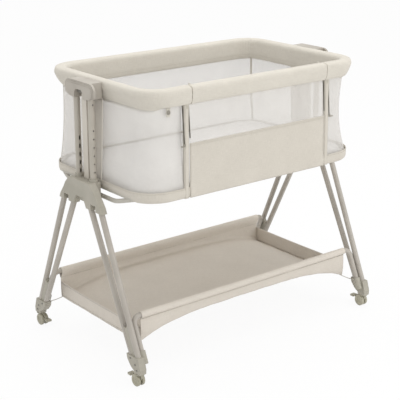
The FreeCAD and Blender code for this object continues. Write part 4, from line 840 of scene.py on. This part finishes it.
# Between its two zips each strut is sleeved in a strip of the canvas, from the rim to the base.
# The drop side's teeth start a little above the fold, clear of the panel when it is down.
WALL_ZIP_X, GATE_ZIP_X, WALL_ZIP_LOW, GATE_ZIP_LOW, ZIP_TOP = 0.2578, 0.2386, 0.622, 0.6370, 0.7235
STRUT_X, SLEEVE_HALF, SLEEVE_TOP = 0.2480, 0.0076, 0.7275
sleeve_runs = []
for word, side in (("left", -1), ("right", 1)):
    zip_of("wall_" + word, side * WALL_ZIP_X, "basket", WALL_ZIP_LOW, ZIP_TOP)
    zip_of("gate_" + word, side * GATE_ZIP_X, "drop_side", GATE_ZIP_LOW, ZIP_TOP)
    rows = []
    for z in np.linspace(PANEL_LOW, SLEEVE_TOP, 40):
        proud = 0.0008 + 0.0030 * max(0.0, min(1.0, (z - PANEL_TOP) / 0.08))
        face = min(front_y(z) - proud, -0.2345)
        bulge = 0.0004 * noise.noise(Vector((side * 3, 1.0, z * 40)))
        middle = side * (STRUT_X + 0.0022 * (SLEEVE_TOP - z) / 0.249)
        rows.append([(middle + w, face + 0.0042 * (w / SLEEVE_HALF) ** 4 - bulge, z)
                     for w in np.linspace(-SLEEVE_HALF, SLEEVE_HALF, 15)])
    sleeve = thicken(cloth_mesh("strut_sleeve_" + word, rows, canvas), 0.0010, 0.0)
    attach(sleeve, "basket")
    sleeve_runs += [[(p[edge][0], p[edge][1] - 0.0008, p[edge][2]) for p in rows] for edge in (2, -3)]
stitches("strut_sleeve_stitches", sleeve_runs, "basket", "panel_cloth")


puller = moulded("zip_puller", srgb(142, 137, 126), srgb(164, 159, 148), 0.4, 900.0, 0.0004)


def rounded_plate(name, centre, size, bevel, material):
    """A small moulded plate with rounded edges."""
    mesh = bpy.data.meshes.new(name)
    with opened(mesh) as shape:
        bmesh.ops.create_cube(shape, size=1.0)
        bmesh.ops.scale(shape, vec=size, verts=shape.verts)
        bmesh.ops.bevel(shape, geom=shape.edges, offset=bevel, segments=3, affect="EDGES", profile=0.5)
        bmesh.ops.translate(shape, vec=centre, verts=shape.verts)
        bmesh.ops.recalc_face_normals(shape, faces=shape.faces)
    mesh.materials.append(material)
    return placed(name, mesh)


for word, side in (("left", -1), ("right", 1)):
    y = front_y(0.619) - 0.0022
    runner = rounded_plate("slider", (side * 0.2582, y, 0.6215), (0.0060, 0.0030, 0.0080), 0.0010, puller)
    pull = rounded_plate("pull", (side * 0.2655, y - 0.0010, 0.6195), (0.0110, 0.0012, 0.0040), 0.0005,
                         puller)
    slider = joined("zip_slider_" + word, runner, pull)
    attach(slider, "basket")

# ---- rim padding ---------------------------------------------------------------------------
# Foam wrapped round the rim tube and covered in a linen-look cloth, sewn shut along its lower
# inner edge. The cloth puckers at the seams and on the inside of the corners.

linen = woven("linen", srgb(200, 194, 183), srgb(223, 218, 207), 0.0010, 0.00018)
RIM_X, RIM_Y, RIM_BEND, RIM_Z = 0.362, 0.226, 0.064, 0.751
SECTION, SEAM_AT = 46, 27
# Outward and upward millimetres from the rim tube's axis.
NEAR_SECTION = [(17.8, 3.0), (17.3, 12.0), (12.8, 19.8), (0.0, 22.3), (-12.8, 19.8), (-17.3, 12.0),
                (-17.9, 2.0), (-17.6, -10.0), (-16.4, -20.0), (-11.0, -25.8), (-3.0, -26.9),
                (6.0, -26.4), (13.2, -22.6), (16.9, -11.0)]
FAR_SECTION = [(17.8, 4.0), (17.3, 12.5), (12.8, 19.8), (0.0, 22.3), (-12.8, 19.8), (-17.3, 12.5),
               (-17.9, 1.0), (-17.9, -14.0), (-17.3, -28.0), (-15.6, -38.5), (-10.4, -40.2),
               (-5.6, -33.5), (3.2, -22.5), (12.4, -9.0)]


def rounded(corners):
    """A closed section through the given points, in metres, evenly spaced."""
    knots = np.array(corners) / 1000
    fine = []
    for k in range(len(knots)):
        p, q, r, t = (knots[(k + step) % len(knots)] for step in (-1, 0, 1, 2))
        square, cube = 2 * p - 5 * q + 4 * r - t, 3 * q - p - 3 * r + t
        fine += [0.5 * (2 * q + (r - p) * w + square * w ** 2 + cube * w ** 3)
                 for w in np.linspace(0, 1, 12, endpoint=False)]
    fine = np.array(fine + fine[:1])
    length = np.insert(np.cumsum(np.linalg.norm(np.diff(fine, axis=0), axis=1)), 0, 0.0)
    even = np.linspace(0, length[-1], SECTION, endpoint=False)
    return np.stack([np.interp(even, length, fine[:, 0]), np.interp(even, length, fine[:, 1])], 1)


near_section, far_section = rounded(NEAR_SECTION), rounded(FAR_SECTION)


def section_at(spot):
    """The padding's section, whose inner side hangs lower at the ends and the rear."""
    side, share = spot
    depth = min(1.0, {0: 0.0, 8: 0.0, 1: 1.8 * share, 7: 1.8 * (1 - share)}.get(side, 1.0))
    depth = depth * depth * (3 - 2 * depth)
    return near_section + (far_section - near_section) * depth


def pad_point(spot_point, out, place, k, s, tight, ends):
    """One point of the padding, with its creases. tight is 1 on the inside of a corner."""
    from_end = min(abs(s - e) for e in ends)
    angle = math.atan2(place[1], place[0])
    inner = max(0.0, -math.cos(angle))
    pucker = 0.0006 * math.exp(-from_end / 0.010) * math.sin(angle * 9 + s * 40)
    crease = 0.00050 * tight * inner * math.sin(s * 520 + 2 * noise.noise(Vector((s * 30, 0, 0))))
    broad = 0.0004 * noise.noise(Vector((s * 24, math.cos(angle) * 2, math.sin(angle) * 2)))
    fine = 0.0002 * noise.noise(Vector((s * 90, angle * 3, 1.7)))
    seam = -0.0010 * math.exp(-((k - SEAM_AT) / 0.8) ** 2)
    swell = pucker + crease + broad + fine + seam - 0.0002
    o = place[0] + swell * math.cos(angle)
    u = place[1] + swell * math.sin(angle)
    return (spot_point[0] + out[0] * o, spot_point[1] + out[1] * o, RIM_Z + u)


def rim_line(spots):
    """Points, outward directions, lengths and corner shares along the rim."""
    line = [ring_at(RIM_X, RIM_Y, RIM_BEND, spot) for spot in spots]
    lengths = [0.0]
    for (a, _), (b, _) in zip(line, line[1:]):
        lengths.append(lengths[-1] + math.hypot(b[0] - a[0], b[1] - a[1]))
    tights = [math.sin(math.pi * share) ** 0.6 if side % 2 else 0.0 for side, share in spots]
    return line, lengths, tights


def padding(name, spots, seams=()):
    line, lengths, tights = rim_line(spots)
    ends = (lengths[0], lengths[-1])
    rows = []
    marks = [lengths[spots.index(s)] for s in seams]
    for index, ((p, out), s, tight) in enumerate(zip(line, lengths, tights)):
        row = [pad_point(p, out, place, k, s, tight, ends + tuple(marks))
               for k, place in enumerate(section_at(spots[index]))]
        if any(abs(s - m) < 0.0012 for m in marks):
            axis = np.array((p[0], p[1], RIM_Z))
            row = [tuple(axis + (np.array(q) - axis) * 0.955) for q in row]
        if index in (0, len(line) - 1):
            middle = np.array((p[0], p[1], RIM_Z - 0.002))
            along = np.array((*line[1 if index == 0 else -2][0], RIM_Z)) - np.array((*p, RIM_Z))
            along = along / np.linalg.norm(along)
            steps = ((0.0, 0.0), (0.5, 0.0), (0.90, 0.0), (0.975, 0.0003), (1.0, 0.0012))
            caps = [[tuple(middle + (np.array(q) - middle) * share + along * push) for q in row]
                    for share, push in steps]
            rows += caps if index == 0 else caps[::-1]
        else:
            rows.append(row)
    return cloth_mesh(name, rows, linen, loop=True, flip=True, pinch=True)


GATE_HALF, RIM_GAP_HALF = 0.2362, 0.4740 / 2 + 0.0009
flat = RIM_X - RIM_BEND
rim_spots = [(0, s / flat) for s in np.linspace(RIM_GAP_HALF, flat, 16)[:-1]]
for side, count in ((1, 34), (2, 60), (3, 34), (4, 110), (5, 34), (6, 60), (7, 34)):
    rim_spots += [(side, k / count) for k in range(count)]
rim_spots += [(8, 1 - s / flat) for s in np.linspace(flat, RIM_GAP_HALF, 16)]
seam_spots = [min((spot for spot in rim_spots if spot[0] == side), key=lambda spot: abs(spot[1] - share))
              for side, share in CORNER_SEAMS]
rim_pad = padding("rim_padding", rim_spots, seam_spots)
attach(rim_pad, "basket")
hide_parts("rim_pad")
gate_spots = [(8, 1 - s / flat) for s in np.linspace(GATE_HALF, 0, 70)[:-1]] + \
    [(0, s / flat) for s in np.linspace(0, GATE_HALF, 70)]
gate_pad = padding("drop_rail_padding", gate_spots)
# The two release buttons stand in wells in its upper side.
WELL_X, WELL_Y, WELL_FLOOR, WELL_RADIUS, WELL_DEPTH = 0.226, -0.217, 0.760, 0.0040, 0.03
for side in (-1, 1):
    well = bpy.data.meshes.new("well")
    with opened(well) as shape:
        bmesh.ops.create_cone(shape, cap_ends=True, segments=32, radius1=WELL_RADIUS, radius2=WELL_RADIUS,
                              depth=WELL_DEPTH)
        bmesh.ops.translate(shape, vec=(side * WELL_X, WELL_Y, WELL_FLOOR + WELL_DEPTH / 2),
                            verts=shape.verts)
    tool = placed("well", well)
    hole = gate_pad.modifiers.new("hole", "BOOLEAN")
    hole.operation, hole.solver, hole.object = "DIFFERENCE", "EXACT", tool
    applied(gate_pad)
    bpy.data.objects.remove(tool)
gate_pad.data.shade_smooth()
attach(gate_pad, "drop_side")
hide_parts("gate_pad")

pad_runs = []
for spots in (rim_spots, gate_spots):
    line, lengths, _ = rim_line(spots)
    for beside in (-1, 1):
        run = []
        for (p, out), spot in list(zip(line, spots))[1:-1]:
            o, u = section_at(spot)[SEAM_AT + beside]
            run.append((p[0] + out[0] * o, p[1] + out[1] * o, RIM_Z + u))
        pad_runs.append(run)
stitches("rim_pad_stitches", pad_runs[:2], "basket", "rim_cloth")
stitches("drop_rail_stitches", pad_runs[2:], "drop_side", "rim_cloth")

# ---- mattress and its board ----------------------------------------------------------------
# A thin foam mattress in a knitted cover lies on a fibreboard panel inside the band. The cover
# is sewn round the edge, and the foam swells a little between the sides.

board = moulded("board_face", srgb(142, 132, 118), srgb(160, 150, 135), 0.7, 300.0)
dress(board, "mattress_board")
knit = woven("mattress_knit", srgb(206, 205, 204), srgb(220, 219, 218), 0.0013, 0.0002, laid_flat=True)
BED_X, BED_Y, BED_BEND, BED_LOW = 0.3615, 0.2145, 0.060, 0.4827
BED_PROFILE = [(inset, 0.0) for inset in (0.2135, 0.19, 0.16, 0.08, 0.030, 0.008)]
BED_PROFILE += [(0.0022, 0.0022), (0.0003, 0.008), (0.0, 0.0150), (0.0010, 0.0220), (0.0045, 0.0272),
                (0.013, 0.0292), (0.040, 0.0302), (0.080, 0.0308), (0.12, 0.0310), (0.16, 0.0311),
                (0.19, 0.0312), (0.2135, 0.0312)]
bed_rows = []
for inset, rise in BED_PROFILE:
    row = []
    for spot in ring_spots:
        bend = max(min(BED_BEND - inset * 0.4, BED_Y - inset - 0.0005), 0.0004)
        x, y = ring_at(BED_X - inset, BED_Y - inset, bend, spot)[0]
        pull = 0.0035 * max(0.0, 1 - inset / 0.19)
        if spot[0] in (0, 8, 4):
            y -= math.copysign(pull * (1 - (x / (BED_X - inset - bend)) ** 2), y)
        if spot[0] in (2, 6):
            x -= math.copysign(pull * (1 - (y / (BED_Y - inset - bend)) ** 2), x)
        soft = 0.0005 * noise.noise(Vector((x * 14, y * 14, 3.0))) if rise > 0.016 else 0.0
        row.append((x, y, BED_LOW + rise + soft))
    bed_rows.append(row)
bed = cloth_mesh("mattress_cushion", bed_rows, knit, loop=True)
with opened(bed.data) as shape:
    bmesh.ops.holes_fill(shape, edges=[e for e in shape.edges if e.is_boundary])
    bmesh.ops.recalc_face_normals(shape, faces=shape.faces)
bed.data.shade_smooth()
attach(bed, "basket")
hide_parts("mattress")

# ---- snap tab ------------------------------------------------------------------------------
# A short webbing tab with a press stud, sewn under the padding left of the drop side.

tab_low, tab_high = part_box("snap_tab")
middle = (tab_low + tab_high) / 2 - Vector((0.010, 0.0, 0.0))
tab_y, tab_long = tab_high[1] - 0.0006, tab_high[2] - tab_low[2] - 0.0010
stud_z = (tab_low[2] + tab_high[2]) / 2
rows = [[(middle[0] + w, tab_y + 0.0004 * math.cos(s * 5), tab_high[2] - s * tab_long)
         for w in np.linspace(-0.0062, 0.0062, 9) * (1 if s < 0.8 else 1 - (s - 0.8) * 0.9)]
        for s in np.linspace(0, 1, 14)]
tab = thicken(cloth_mesh("snap_tab_cloth", rows, tape_weave, flip=True), 0.0011)
stud = [(0.0, 0.0014), (0.0018, 0.0014), (0.0022, 0.0009), (0.0034, 0.0009), (0.0040, 0.0022),
        (0.0052, 0.0022), (0.0058, 0.0010), (0.0058, 0.0)]
rows = [[(middle[0] + r * math.cos(a), tab_y - 0.0005 - h, stud_z + r * math.sin(a))
         for a in np.linspace(0, math.tau, 28, endpoint=False)] for r, h in stud]
snap = cloth_mesh("snap_stud", rows, puller, loop=True, flip=True, pinch=True)
for piece in (tab, snap):
    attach(piece, "basket")
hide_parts("snap_tab")

# ---- floor, backdrop, lights and camera ----------------------------------------------------
# A pale floor that keeps the shadow, a white surround, and large soft lamps, as in a studio.

WHITE = (1, 1, 1, 1)


def rays(owner, *kinds):
    """Masks of the kinds of ray that see a surface or the world."""
    path = owner.node("ShaderNodeLightPath").socket.node
    return [Field(owner, path.outputs["Is %s Ray" % kind]) for kind in kinds]


floor_mesh = bpy.data.meshes.new("floor")
floor_mesh.from_pydata([(-8, -8, 0), (8, -8, 0), (8, 8, 0), (-8, 8, 0)], [], [(0, 1, 2, 3)])
floor = placed("floor", floor_mesh)
ground = Finish("floor_paper", Base_Color=(0.9, 0.9, 0.9, 1), Roughness=0.9, Specular_IOR_Level=0.1)
seen, glossy, clear = rays(ground, "Camera", "Glossy", "Transmission")
white = ground.node("ShaderNodeEmission", None, {"Color": WHITE, "Strength": 1.0})
seen = (seen * 0.92).math("MAXIMUM", glossy).math("MAXIMUM", clear)
paper = Field(ground, ground.shader.outputs[0])
mixed = ground.node("ShaderNodeMixShader", None, {0: seen, 1: paper, 2: white})
ground.feed(ground.tree.nodes["Material Output"].inputs["Surface"], mixed)
floor_mesh.materials.append(ground.material)


class Studio(Finish):
    """The world, whose nodes come from the same method."""

    def __init__(self, name):
        self.world = bpy.data.worlds.new(name)
        self.world.use_nodes = True
        self.tree = self.world.node_tree


studio = Studio("studio")
bpy.context.scene.world = studio.world
seen, clear = rays(studio, "Camera", "Transmission")
backing = studio.tree.nodes["Background"]
studio.feed(backing.inputs["Color"], WHITE)
studio.feed(backing.inputs["Strength"], 1.0)
ambient = studio.node("ShaderNodeBackground", None, {"Color": (1.0, 0.995, 0.985, 1), "Strength": 0.82})
mixed = studio.node("ShaderNodeMixShader", None, {
    0: seen.math("MAXIMUM", clear), 1: ambient, 2: Field(studio, backing.outputs[0])})
studio.feed(studio.tree.nodes["World Output"].inputs["Surface"], mixed)


def lamp(name, at, size, power):
    """A large soft lamp that faces the crib's middle."""
    light = bpy.data.lights.new(name, "AREA")
    light.size, light.energy = size, power
    made = placed(name, light)
    made.location = at
    made.rotation_euler = (Vector((0, 0, 0.4)) - Vector(at)).to_track_quat("-Z", "Y").to_euler()


lamp("key", (1.1, -3.1, 1.7), 2.4, 24)
lamp("top", (0.2, 0.1, 3.4), 2.6, 38)

camera = placed("camera", bpy.data.cameras.new("camera"))
bpy.context.scene.camera = camera
CAMERA_AT = (-1.8592, -2.3124, 1.3378)
YAW, PITCH, LENS = math.radians(-38.5), math.radians(18.2), 96.28
back = Vector((math.sin(YAW) * math.cos(PITCH), -math.cos(YAW) * math.cos(PITCH), math.sin(PITCH)))
camera.location = CAMERA_AT
camera.rotation_euler = (-back).to_track_quat("-Z", "Y").to_euler()
camera.data.sensor_width, camera.data.lens = 36.0, LENS
camera.data.clip_end = 50.0
bpy.context.scene.view_settings.view_transform = "Standard"
